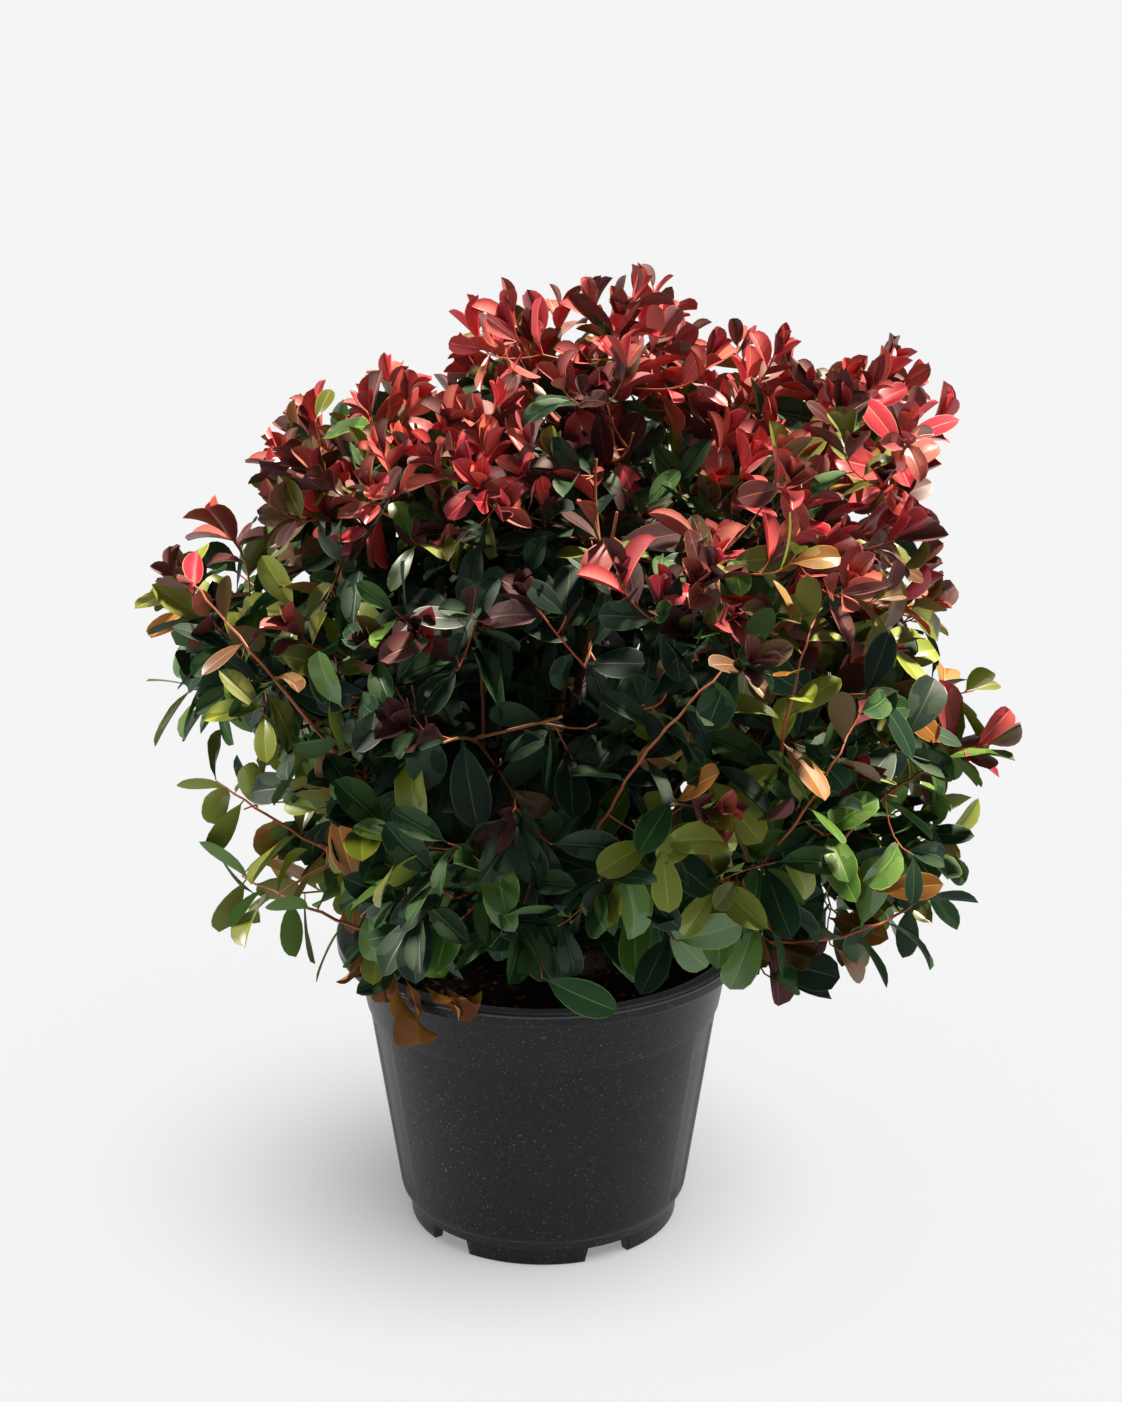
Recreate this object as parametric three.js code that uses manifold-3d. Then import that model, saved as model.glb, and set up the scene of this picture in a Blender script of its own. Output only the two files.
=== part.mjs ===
// A potted shrub with glossy green leaves and red young shoots, in millimetres,
// +Z up, its front towards -Y. The origin is the centre of the pot's underside.
//
// The pot is a nursery container full of compost. A short trunk stands on the
// compost. Limbs fan out from it, and each ends in its own mass of foliage: a
// stem, the twigs that branch from it and the leaves on them, fused into one
// solid. The crown is drawn from the reach of each mass, and every random
// choice comes from one repeatable rule, so the shrub is always the same.

import * as THREE from "three";
import { mergeVertices } from "three/addons/utils/BufferGeometryUtils.js";
import Module from "manifold-3d";

const wasm = await Module();
wasm.setup();

// Between pieces that touch
const CLEAR = 0.3;

// Details of foliage smaller than this are merged
const FINENESS = 0.3;
const GRIDS = [0.001, 0.0001];

// Pot: a moulded container with a rolled lip, a collar, four shallow flutes
// and a foot ring with five notches
const POT_RADIUS = 150;
const POT_HEIGHT = 223;
const LIP_HEIGHT = 11;
const LIP_WIDTH = 12.5;
const LIP_ROUND = 3;
const COLLAR_RADIUS = 136;
const SEAM_HEIGHT = 169;
const SEAM_RADIUS = 128.5;
const SEAM_STEP = 1.6;
const BODY_RADIUS = 104.5;
const FOOT_HEIGHT = 18;
const FOOT_RADIUS = 99;
const FOOT_WIDTH = 8;
const FLOOR_HEIGHT = 11;
const WALL = 2.4;
const PAD_RADIUS = 24;
const POT_SEGMENTS = 45;
const NOTCHES = 5;
const NOTCH_WIDTH = 34;
const NOTCH_TURN = -8; // the first foot's centre, from the front towards the right
const FLUTE_CENTRES = [-68, 68, -112, 112];
const FLUTE_HALF_WIDTH = 8;
const FLUTE_DEPTH = 1.3;

// Compost, level with the trunk's foot and a little lower at the wall
const SOIL_HEIGHT = 212;
const SOIL_FLAT_RADIUS = 40;
const SOIL_DROP = 3;
const SOIL_SEGMENTS = 24;

// Trunk: a short knuckle that flares at the compost and forks at its top
const TRUNK_HEIGHT = 34;
const TRUNK_FLARE = 24;
const TRUNK_WAIST = 15.5;
const TRUNK_TOP = 17;
const TRUNK_SIDES = 14;

// Limbs, by tier
const LIMB_SIDES = 6;
const LIMB_STEP = 56;
const LIMB_TIP_RADIUS = 2.8;
const FORK_RADIUS = 11.2;

// Crown: how far it reaches from its centre at each angle seen from the front,
// from the right over the top, and how far it reaches to the front and back
const CROWN_CENTRE = new THREE.Vector3(15, 0, 420);
const CROWN_OUTLINE = [
  [0, 312],
  [22, 312],
  [44, 346],
  [62, 314],
  [80, 312],
  [100, 304],
  [128, 284],
  [150, 278],
  [164, 336],
  [188, 298],
  [212, 312],
  [240, 318],
  [300, 320],
  [330, 342],
  [350, 340],
  [360, 312],
];
const CROWN_DEPTH = 290;
const SKIRT_HEIGHT = 176; // the crown's underside at the sides
const SKIRT_RISE = 66; // and how much higher it is at the front and back

// Masses of foliage, by tier: each tier's count, the elevation of its masses
// from the crown's centre, and the azimuth of the first, from the front
// towards the right
const TIERS = [
  { name: "low", count: 5, elevation: -25, azimuth: 18 },
  { name: "mid", count: 5, elevation: 8, azimuth: 54 },
  { name: "high", count: 4, elevation: 42, azimuth: 10 },
  { name: "top", count: 1, elevation: 82, azimuth: 75 },
];
const CENTRE_SHARE = 0.64;
const SPACE_MARGIN = 0.6;
const LIMB_MARGIN = 1;

// Twigs
const TIP_COUNT = 100;
const LOWEST_SINE = -0.8;
const INNER_EVERY = 4; // one tip in this many is deeper inside the crown
const TIP_MARGIN = 52; // from a twig's tip to the crown's outline
const TWIG_STEP = 55;
const SHORTEST_TWIG = 30;
const TURN_COST = 0.55;
const RUN_COST = 0.12;
const RISE = 0.2; // how far shoots turn up from straight outwards
const STEM_RADIUS = 2.7;
const TWIG_RADIUS = 2.0;
const TWIG_TIP_RADIUS = 1.3;

// Leaves, larger than life and fewer
const LEAF_COUNT = 600;
const LEAF_LENGTH = 114;
const LEAF_WIDTH_SHARE = 0.66;
const LEAF_THICKNESS_SHARE = 0.035;
const TIP_LEAF_SHARE = 0.82;
const LEAF_ANGLES = [84, 66, 48, 30]; // from the twig's own direction
const LEAF_INSET = 2; // from a twig's tip to its last leaf
const LEAF_SPACING = 5; // between the places on a twig where a leaf can grow
const ROOMS = [58, 48, 40, 34, 29, 24, 20]; // the room each leaf gets, round after round

const UP = new THREE.Vector3(0, 0, 1);
const finish = (color, roughness) =>
  new THREE.MeshStandardMaterial({ color, roughness, metalness: 0 });
const potPlastic = finish(0x242527, 0.5);
const compost = finish(0x21160f, 0.95);
const bark = finish(0x6b4530, 0.85);
const greenLeaves = finish(0x1f4a2a, 0.4);
const bronzeLeaves = finish(0x6b4a2c, 0.4);
const redLeaves = finish(0x9c2a30, 0.35);

const frac = (x) => x - Math.floor(x);
const mix = (a, b, share) => a + (b - a) * share;

// A repeatable number from 0 to 1 for thing i and purpose j
const noise = (i, j) => frac(Math.sin(i * 12.9898 + j * 78.233) * 43758.5453);

// A unit vector from an azimuth and an elevation in degrees
function heading(azimuth, elevation) {
  const a = THREE.MathUtils.degToRad(azimuth);
  const e = THREE.MathUtils.degToRad(elevation);
  return new THREE.Vector3(
    Math.sin(a) * Math.cos(e),
    -Math.cos(a) * Math.cos(e),
    Math.sin(e),
  );
}

// A closed geometry as a solid that can be joined and cut
function solidOf(geometry) {
  const bare = geometry.clone();
  bare.deleteAttribute("normal");
  bare.deleteAttribute("uv");
  const merged = mergeVertices(bare, 1e-4);
  return new wasm.Manifold(
    new wasm.Mesh({
      numProp: 3,
      vertProperties: new Float32Array(merged.attributes.position.array),
      triVerts: new Uint32Array(merged.index.array),
    }),
  );
}

// A solid as a geometry
function geometryOf(solid) {
  const { numProp, vertProperties, triVerts } = solid.getMesh();
  const positions = new Float32Array((vertProperties.length / numProp) * 3);
  for (let i = 0; i < positions.length / 3; i += 1)
    positions.set(vertProperties.subarray(i * numProp, i * numProp + 3), i * 3);
  return new THREE.BufferGeometry()
    .setAttribute("position", new THREE.BufferAttribute(positions, 3))
    .setIndex(new THREE.BufferAttribute(new Uint32Array(triVerts), 1));
}

// The largest body of a solid: loose scraps go, and sealed hollows are filled
function largestBody(solid) {
  return solid
    .decompose()
    .reduce((best, body) => (body.volume() > best.volume() ? body : best));
}

// Whether a solid is still closed when its vertices are rounded to a grid:
// each edge of its faces then has one face on each side
function staysClosed(solid) {
  const { numProp, vertProperties, triVerts } = solid.getMesh();
  return GRIDS.every((grid) => {
    const place = (v) =>
      vertProperties
        .subarray(v * numProp, v * numProp + 3)
        .map((value) => Math.round(value / grid))
        .join();
    const edges = new Set();
    let faces = 0;
    for (let t = 0; t < triVerts.length; t += 3) {
      const [a, b, c] = [place(triVerts[t]), place(triVerts[t + 1]), place(triVerts[t + 2])];
      if (a === b || b === c || c === a) continue;
      faces += 1;
      for (const edge of [`${a} ${b}`, `${b} ${c}`, `${c} ${a}`]) edges.add(edge);
    }
    const paired = [...edges].every((edge) => edges.has(edge.split(" ").reverse().join(" ")));
    return paired && edges.size === 3 * faces;
  });
}

const shrub = new THREE.Group();
shrub.name = "potted_shrub";

function addNode(name, geometry, material) {
  const mesh = new THREE.Mesh(geometry, material);
  mesh.name = name;
  shrub.add(mesh);
}

// A profile of [radius, height] pairs turned about the Z axis
function turned(profile, segments) {
  const points = profile.map(([radius, height]) => new THREE.Vector2(radius, height));
  return new THREE.LatheGeometry(points, segments).rotateX(Math.PI / 2);
}

// The radius of the pot's outer wall at a height between the foot and the seam
const bodyRadius = (z) =>
  mix(BODY_RADIUS, SEAM_RADIUS - SEAM_STEP, (z - FOOT_HEIGHT) / (SEAM_HEIGHT - FOOT_HEIGHT));

function potGeometry() {
  const fluteLow = FOOT_HEIGHT + 12;
  const fluteHigh = SEAM_HEIGHT - 8;
  const lipBase = POT_HEIGHT - LIP_HEIGHT;
  const floorTop = FLOOR_HEIGHT + WALL;
  const profile = [
    [0, 0],
    [PAD_RADIUS, 0],
    [PAD_RADIUS, FLOOR_HEIGHT],
    [FOOT_RADIUS - FOOT_WIDTH, FLOOR_HEIGHT],
    [FOOT_RADIUS - FOOT_WIDTH, 0],
    [FOOT_RADIUS - 1, 0],
    [FOOT_RADIUS, FOOT_HEIGHT],
    [BODY_RADIUS, FOOT_HEIGHT + 3],
    [bodyRadius(fluteLow - 3), fluteLow - 3],
    [bodyRadius(fluteLow), fluteLow],
    [bodyRadius(fluteHigh), fluteHigh],
    [bodyRadius(fluteHigh + 3), fluteHigh + 3],
    [bodyRadius(SEAM_HEIGHT), SEAM_HEIGHT],
    [SEAM_RADIUS, SEAM_HEIGHT + 1],
    [COLLAR_RADIUS, lipBase],
    [POT_RADIUS - 1, lipBase],
    [POT_RADIUS, POT_HEIGHT - LIP_ROUND],
    [POT_RADIUS - LIP_ROUND, POT_HEIGHT],
    [POT_RADIUS - LIP_WIDTH, POT_HEIGHT - 0.5],
    [COLLAR_RADIUS - WALL, lipBase],
    [SEAM_RADIUS - WALL, SEAM_HEIGHT + 1],
    [bodyRadius(SEAM_HEIGHT) - WALL - FLUTE_DEPTH, SEAM_HEIGHT - 2],
    [bodyRadius(floorTop) - WALL - FLUTE_DEPTH, floorTop],
    [0, floorTop],
  ];
  const geometry = turned(profile, POT_SEGMENTS);
  pressFlutes(geometry, fluteLow, fluteHigh);
  return geometry;
}

// Presses the outer wall in along the flutes
function pressFlutes(geometry, low, high) {
  const position = geometry.getAttribute("position");
  const point = new THREE.Vector3();
  for (let i = 0; i < position.count; i += 1) {
    point.fromBufferAttribute(position, i);
    const radius = Math.hypot(point.x, point.y);
    const onWall = point.z > low - 1 && point.z < high + 1 && radius > bodyRadius(point.z) - 1;
    const azimuth = THREE.MathUtils.radToDeg(Math.atan2(point.x, -point.y));
    const inFlute = FLUTE_CENTRES.some((a) => Math.abs(azimuth - a) < FLUTE_HALF_WIDTH);
    if (onWall && inFlute) {
      const share = (radius - FLUTE_DEPTH) / radius;
      position.setXY(i, point.x * share, point.y * share);
    }
  }
}

// Cuts the drainage notches into the foot ring
function withNotches(pot) {
  let cut = pot;
  for (let k = 0; k < NOTCHES; k += 1) {
    const pitch = (2 * Math.PI) / NOTCHES;
    const angle = THREE.MathUtils.degToRad(NOTCH_TURN) + (k + 0.5) * pitch;
    const notch = new THREE.BoxGeometry(NOTCH_WIDTH, 4 * FOOT_WIDTH, 2 * FLOOR_HEIGHT)
      .translate(0, -FOOT_RADIUS, 0)
      .rotateZ(angle);
    cut = cut.subtract(solidOf(notch));
  }
  return cut;
}

function soilGeometry() {
  const floorTop = FLOOR_HEIGHT + WALL;
  const wallInset = WALL + FLUTE_DEPTH + CLEAR;
  const surface = SOIL_HEIGHT - SOIL_DROP;
  const collarShare = (surface - SEAM_HEIGHT - 1) / (POT_HEIGHT - LIP_HEIGHT - SEAM_HEIGHT - 1);
  const profile = [
    [0, floorTop + CLEAR],
    [bodyRadius(floorTop) - wallInset - CLEAR, floorTop + CLEAR],
    [bodyRadius(SEAM_HEIGHT) - wallInset, SEAM_HEIGHT - 2],
    [SEAM_RADIUS - WALL - CLEAR, SEAM_HEIGHT + 2],
    [mix(SEAM_RADIUS, COLLAR_RADIUS, collarShare) - WALL - 2 * CLEAR, surface],
    [SOIL_FLAT_RADIUS, SOIL_HEIGHT],
    [0, SOIL_HEIGHT],
  ];
  return turned(profile, SOIL_SEGMENTS);
}

// The trunk's surface, or that surface moved out by grow
function trunkGeometry(grow = 0) {
  const foot = SOIL_HEIGHT + CLEAR;
  const radii = [
    [0, foot - grow],
    [TRUNK_FLARE + grow, foot - grow],
    [TRUNK_WAIST + 3 + grow, foot + TRUNK_HEIGHT * 0.16],
    [TRUNK_WAIST + grow, foot + TRUNK_HEIGHT * 0.45],
    [TRUNK_TOP + grow, foot + TRUNK_HEIGHT * 0.86],
    [TRUNK_TOP - 1.5 + grow, foot + TRUNK_HEIGHT + grow],
    [0, foot + TRUNK_HEIGHT + grow],
  ];
  return turned(radii, TRUNK_SIDES);
}

// A rounded limb along a curve, its radius given at each share of its length
function limbGeometry(curve, radiusAt, sides, steps) {
  const geometry = new THREE.CylinderGeometry(1, 1, 1, sides, steps);
  const frames = curve.computeFrenetFrames(steps, false);
  const position = geometry.getAttribute("position");
  for (let i = 0; i < position.count; i += 1) {
    const step = Math.round((position.getY(i) + 0.5) * steps);
    const radius = radiusAt(step / steps);
    const point = curve
      .getPointAt(step / steps)
      .addScaledVector(frames.binormals[step], position.getX(i) * radius)
      .addScaledVector(frames.normals[step], position.getZ(i) * radius);
    position.setXYZ(i, point.x, point.y, point.z);
  }
  return geometry;
}

// How far the crown's outline is from its centre in a direction
function crownReach(direction) {
  const turn = THREE.MathUtils.radToDeg(Math.atan2(direction.z, direction.x));
  const angle = (turn + 360) % 360;
  const next = CROWN_OUTLINE.findIndex(([limit]) => limit > angle);
  const [[low, lowReach], [high, highReach]] = CROWN_OUTLINE.slice(next - 1, next + 1);
  const side = mix(lowReach, highReach, (angle - low) / (high - low));
  return mix(side, CROWN_DEPTH, direction.y ** 2);
}

// The masses: where each one's centre is and how far it reaches
const masses = TIERS.flatMap((tier) =>
  Array.from({ length: tier.count }, (_, k) => {
    const azimuth = tier.azimuth + (360 / tier.count) * k;
    const outward = heading(azimuth, tier.elevation);
    const reach = crownReach(outward);
    return {
      tier: tier.name,
      name: `${tier.name}_${k + 1}`,
      azimuth,
      outward,
      reach,
      centre: CROWN_CENTRE.clone().addScaledVector(outward, reach * CENTRE_SHARE),
    };
  }),
);

// How far a point is inside a mass's own space, which ends half way to its
// neighbours' centres
function insideSpace(mass, point) {
  let least = Infinity;
  for (const other of masses) {
    if (other === mass) continue;
    const between = other.centre.clone().sub(mass.centre);
    const middle = mass.centre.clone().addScaledVector(between, 0.5);
    least = Math.min(least, middle.sub(point).dot(between) / between.length());
  }
  return least;
}

// Limbs: where each starts, and the curve that it follows into its mass
function limbCurve(start, rise, mass) {
  let share = 0.5;
  const end = new THREE.Vector3();
  do {
    share += 0.03;
    end.lerpVectors(start, mass.centre, share);
  } while (insideSpace(mass, end) < 16 && share < 0.95);
  const bend = start.clone().addScaledVector(rise, start.distanceTo(end) * 0.42);
  return new THREE.QuadraticBezierCurve3(start, bend, end);
}

const trunkTop = SOIL_HEIGHT + CLEAR + TRUNK_HEIGHT;
const grownTrunk = solidOf(trunkGeometry(CLEAR));
const potSolid = withNotches(solidOf(potGeometry()));
const limbs = [];

function addLimb(mass, start, rise, baseRadius, carrier) {
  const curve = limbCurve(start, rise, mass);
  const length = curve.getLength();
  const steps = Math.max(3, Math.round(length / LIMB_STEP));
  const radiusAt = (share) => mix(baseRadius, LIMB_TIP_RADIUS, share);
  const make = (grow) =>
    solidOf(limbGeometry(curve, (s) => radiusAt(s) + grow, LIMB_SIDES, steps));
  const body = largestBody(make(0).subtract(carrier));
  addNode(`limb_${mass.name}`, geometryOf(body), bark);
  mass.limb = { curve, radiusAt, body, grown: make(CLEAR), points: [], radii: [] };
  for (let k = 0; k <= 12; k += 1) {
    mass.limb.points.push(curve.getPointAt(k / 12));
    mass.limb.radii.push(radiusAt(k / 12));
  }
  limbs.push(mass.limb);
}

const inTier = (name) => masses.filter((mass) => mass.tier === name);

for (const mass of inTier("mid")) {
  const level = heading(mass.azimuth, 0);
  const start = level.clone().multiplyScalar(6).setZ(trunkTop - 23);
  addLimb(mass, start, heading(mass.azimuth, 40), 4.6, grownTrunk);
}
for (const mass of inTier("high")) {
  const level = heading(mass.azimuth, 0);
  const start = level.clone().multiplyScalar(FORK_RADIUS).setZ(trunkTop - 5);
  addLimb(mass, start, heading(mass.azimuth, 76), 4.6, grownTrunk);
}
for (const mass of inTier("top")) {
  addLimb(mass, new THREE.Vector3(0, 0, trunkTop - 5), UP, 4.6, grownTrunk);
}
inTier("low").forEach((mass, k) => {
  const carrier = inTier("mid")[k].limb;
  const start = carrier.curve.getPointAt(0.34);
  addLimb(mass, start, heading(mass.azimuth, 28), 3.6, carrier.grown);
});

// Whether a solid keeps clear of the limbs, the trunk, the pot and the compost
const hardParts = wasm.Manifold.union([
  potSolid,
  solidOf(soilGeometry()),
  solidOf(trunkGeometry()),
  ...limbs.map((limb) => limb.body),
]);
const keepsClear = (solid) => solid.minGap(hardParts, 2) > LIMB_MARGIN;

// The distance from a point to the nearest limb's surface
function clearOfLimbs(point) {
  let least = Infinity;
  const segment = new THREE.Line3();
  const nearest = new THREE.Vector3();
  for (const limb of limbs)
    for (let k = 0; k < limb.points.length - 1; k += 1) {
      segment.set(limb.points[k], limb.points[k + 1]);
      segment.closestPointToPoint(point, true, nearest);
      least = Math.min(least, nearest.distanceTo(point) - limb.radii[k]);
    }
  return least;
}

// The distance from a point to the pot and its compost, roughly
function clearOfPot(point) {
  const radius = Math.hypot(point.x, point.y);
  const overRim = point.z - POT_HEIGHT;
  const outside = radius - POT_RADIUS;
  const inRim = POT_RADIUS - LIP_WIDTH - radius;
  if (inRim > 0 && point.z < POT_HEIGHT) return Math.min(inRim, point.z - SOIL_HEIGHT);
  return Math.max(overRim, outside);
}

// Tip points, spread evenly over the crown's outline and, for some, deeper
// inside it. Any number of them from the first is evenly spread.
function tipPoint(i) {
  const azimuth = 360 * frac(0.5 + i * 0.7548776662);
  const sine = mix(LOWEST_SINE, 0.995, frac(0.5 + i * 0.569840291));
  const direction = heading(azimuth, THREE.MathUtils.radToDeg(Math.asin(sine)));
  const inner = i % INNER_EVERY < 1;
  const depth = inner ? mix(0.5, 0.78, noise(i, 1)) : mix(0.86, 1, noise(i, 1) ** 0.5);
  const reach = crownReach(direction) * depth - TIP_MARGIN;
  return { index: i, direction, point: CROWN_CENTRE.clone().addScaledVector(direction, reach) };
}

// A twig along a curve, with its joints, each with its radius, its direction
// and its run from the mass's root
function twigAlong(curve, index, run, baseRadius) {
  const length = curve.getLength();
  const steps = Math.max(2, Math.round(length / TWIG_STEP));
  const shares = Array.from({ length: steps + 1 }, (_, k) => k / steps);
  return {
    index,
    curve,
    steps,
    length,
    frames: curve.computeFrenetFrames(steps, false),
    points: shares.map((share) => curve.getPointAt(share)),
    directions: shares.map((share) => curve.getTangentAt(share)),
    radii: shares.map((share) => mix(baseRadius, TWIG_TIP_RADIUS, share)),
    runs: shares.map((share) => run + length * share),
  };
}

// The middle of a twig at a share of its length, between its joints
function middleOf(twig, share) {
  const step = Math.min(twig.steps - 1, Math.floor(share * twig.steps));
  return twig.points[step].clone().lerp(twig.points[step + 1], share * twig.steps - step);
}

// The curve of a twig from its root to its tip, where it turns up
function twigCurve(root, tip) {
  const end = tip.direction.clone().addScaledVector(UP, RISE).normalize();
  const bend = tip.point.clone().addScaledVector(end, -0.45 * tip.point.distanceTo(root));
  return new THREE.QuadraticBezierCurve3(root, bend, tip.point);
}

// The point of the twigs already grown from which a new twig leaves
function rootFor(twigs, target) {
  let best = null;
  let least = Infinity;
  for (const twig of twigs)
    for (let k = 1; k < twig.points.length - 1; k += 1) {
      const reach = target.clone().sub(twig.points[k]);
      const gap = reach.length();
      if (gap < SHORTEST_TWIG) continue;
      const turn = 1 - reach.dot(twig.directions[k]) / gap;
      const cost = gap * (1 + TURN_COST * turn) + twig.runs[k] * RUN_COST;
      if (cost < least) {
        least = cost;
        best = { point: twig.points[k], radius: twig.radii[k], run: twig.runs[k] };
      }
    }
  return best;
}

// How far a point is above the crown's underside
const aboveSkirt = (point) =>
  point.z - SKIRT_HEIGHT - SKIRT_RISE * Math.min(1, Math.abs(point.y) / POT_RADIUS);

// How far a point is inside the crown's outline
function insideCrown(point) {
  const reach = point.clone().sub(CROWN_CENTRE);
  const distance = reach.length();
  return crownReach(reach.divideScalar(distance)) - distance;
}

const pointFits = (mass, point, margin) =>
  aboveSkirt(point) > 0 &&
  insideCrown(point) > 0 &&
  insideSpace(mass, point) > SPACE_MARGIN + margin &&
  clearOfLimbs(point) > LIMB_MARGIN + margin &&
  clearOfPot(point) > LIMB_MARGIN + margin;

// A three-sided twig
function twigSolid(twig) {
  const radiusAt = (share) => mix(twig.radii[0], twig.radii[twig.steps], share);
  return solidOf(limbGeometry(twig.curve, radiusAt, 3, twig.steps));
}

// Grows a mass's stem and twigs
function growTwigs(mass, tips) {
  const { curve } = mass.limb;
  const leave = curve.getTangentAt(1);
  const start = curve.getPointAt(1).addScaledVector(leave, CLEAR);
  const end = CROWN_CENTRE.clone().addScaledVector(mass.outward, mass.reach - TIP_MARGIN);
  const bend = start.clone().addScaledVector(leave, 0.5 * end.distanceTo(start));
  const stemCurve = new THREE.QuadraticBezierCurve3(start, bend, end);
  const stem = twigAlong(stemCurve, 1000 + masses.indexOf(mass), 0, STEM_RADIUS);
  const twigs = [stem];
  for (const tip of tips) {
    if (insideSpace(mass, tip.point) < SPACE_MARGIN + TWIG_TIP_RADIUS) continue;
    const root = rootFor(twigs, tip.point);
    if (!root) continue;
    const radius = Math.min(TWIG_RADIUS, root.radius * 0.85);
    const twig = twigAlong(twigCurve(root.point, tip), tip.index, root.run, radius);
    const fits = twig.points.slice(1).every((point) => pointFits(mass, point, TWIG_TIP_RADIUS));
    if (fits && keepsClear(twigSolid(twig))) twigs.push(twig);
  }
  return twigs;
}

// A leaf's corners: its base, tip, two sides, and its upper and lower crown
function leafAt(base, along, upper, length) {
  const side = along.clone().cross(upper).normalize();
  const normal = side.clone().cross(along).normalize();
  const at = (share, across, lift) =>
    base
      .clone()
      .addScaledVector(along, length * share)
      .addScaledVector(side, across * length * LEAF_WIDTH_SHARE * 0.5)
      .addScaledVector(normal, lift * length * LEAF_THICKNESS_SHARE * 0.5);
  return {
    base,
    tip: at(1, 0, -1.5),
    right: at(0.56, 1, 1),
    left: at(0.56, -1, 1),
    top: at(0.3, 0, 1),
    under: at(0.3, 0, -1),
  };
}

// A leaf as a solid of eight faces
function leafSolid(leaf) {
  const geometry = new THREE.OctahedronGeometry(1);
  const position = geometry.getAttribute("position");
  for (let i = 0; i < position.count; i += 1) {
    const [x, y, z] = [position.getX(i), position.getY(i), position.getZ(i)].map(Math.round);
    const corner =
      (x && (x > 0 ? leaf.right : leaf.left)) ||
      (y && (y > 0 ? leaf.tip : leaf.base)) ||
      (z > 0 ? leaf.top : leaf.under);
    position.setXYZ(i, corner.x, corner.y, corner.z);
  }
  return solidOf(geometry);
}

// Whether an edge passes through a leaf's blade
function edgeMeetsLeaf(from, to, leaf) {
  const ray = new THREE.Ray(from, to.clone().sub(from).normalize());
  const hit = new THREE.Vector3();
  const halves = [
    [leaf.base, leaf.right, leaf.tip],
    [leaf.base, leaf.left, leaf.tip],
  ];
  return halves.some(
    ([a, b, c]) =>
      ray.intersectTriangle(a, b, c, false, hit) && hit.distanceTo(from) < to.distanceTo(from),
  );
}

const leafEdges = (leaf) => [
  [leaf.base, leaf.right],
  [leaf.right, leaf.tip],
  [leaf.base, leaf.left],
  [leaf.left, leaf.tip],
  [leaf.base, leaf.tip],
  [leaf.left, leaf.right],
];

const leavesMeet = (one, two) =>
  leafEdges(one).some(([from, to]) => edgeMeetsLeaf(from, to, two)) ||
  leafEdges(two).some(([from, to]) => edgeMeetsLeaf(from, to, one));

// The middles of all the leaves grown so far
const leafMiddles = [];

const hasRoom = (middle, room) =>
  leafMiddles.every((other) => other.distanceToSquared(middle) > room * room);

// The leaf that leaves a twig at a place, out of the middle of one of its
// three faces, at one of the angles
function leafOn(twig, place, face, angle) {
  const share = 1 - (LEAF_INSET + place * LEAF_SPACING) / twig.length;
  const step = Math.round(share * twig.steps);
  const along = twig.curve.getTangentAt(share);
  const turn = THREE.MathUtils.degToRad(60 + 120 * face);
  const tilt = THREE.MathUtils.degToRad(angle);
  const out = twig.frames.binormals[step]
    .clone()
    .multiplyScalar(Math.sin(turn) * Math.sin(tilt))
    .addScaledVector(twig.frames.normals[step], Math.cos(turn) * Math.sin(tilt))
    .addScaledVector(along, Math.cos(tilt));
  const base = middleOf(twig, share);
  const upper = base.clone().sub(CROWN_CENTRE).normalize().addScaledVector(UP, 0.5);
  const older = Math.min(1, (place * LEAF_SPACING) / 60);
  const size = mix(TIP_LEAF_SHARE, 1, older) * mix(0.84, 1.1, noise(twig.index, place + face));
  return leafAt(base, out, upper, LEAF_LENGTH * size);
}

// Adds the leaves that fit a mass and have room, up to a number of them
function addLeaves(mass, room, limit) {
  for (const twig of mass.twigs) {
    const places = Math.floor((0.85 * twig.length) / LEAF_SPACING) - 1;
    for (let place = 0; place <= places; place += 1)
      for (let way = 0; way < 3 * LEAF_ANGLES.length; way += 1) {
        if (leafMiddles.length >= limit) return;
        const row = Math.floor(way / 3);
        const angle = LEAF_ANGLES[place < 2 ? LEAF_ANGLES.length - 1 - row : row];
        const leaf = leafOn(twig, place, (way + place) % 3, angle);
        const middle = leaf.left.clone().lerp(leaf.right, 0.5);
        if (!hasRoom(middle, room)) continue;
        const corners = [leaf.tip, leaf.left, leaf.right, leaf.top];
        if (!corners.every((point) => pointFits(mass, point, 0))) continue;
        if (mass.leaves.some((other) => leavesMeet(leaf, other))) continue;
        if (!keepsClear(leafSolid(leaf))) continue;
        mass.leaves.push(leaf);
        leafMiddles.push(middle);
      }
  }
}

// A mass's stem, twigs and leaves fused into one solid
function massSolid(mass) {
  const [stem, ...others] = [...mass.twigs.map(twigSolid), ...mass.leaves.map(leafSolid)];
  let joined = stem;
  for (const other of others) {
    const next = joined.add(other);
    if (staysClosed(next) && next.decompose().length === 1) joined = next;
  }
  const simple = largestBody(joined).simplify(FINENESS);
  return staysClosed(simple) ? simple : joined;
}

function leafMaterial(mass) {
  if (mass.tier === "low") return greenLeaves;
  return mass.tier === "mid" ? bronzeLeaves : redLeaves;
}

addNode("pot", geometryOf(potSolid), potPlastic);
addNode("compost", soilGeometry(), compost);
addNode("trunk", trunkGeometry(), bark);

const tips = Array.from({ length: TIP_COUNT }, (_, i) => tipPoint(i));
for (const mass of masses) {
  mass.twigs = growTwigs(mass, tips);
  mass.leaves = [];
}
for (const room of ROOMS) for (const mass of masses) addLeaves(mass, room, LEAF_COUNT);
for (const mass of masses) {
  addNode(`foliage_${mass.name}`, geometryOf(massSolid(mass)), leafMaterial(mass));
}

export default shrub;
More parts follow.
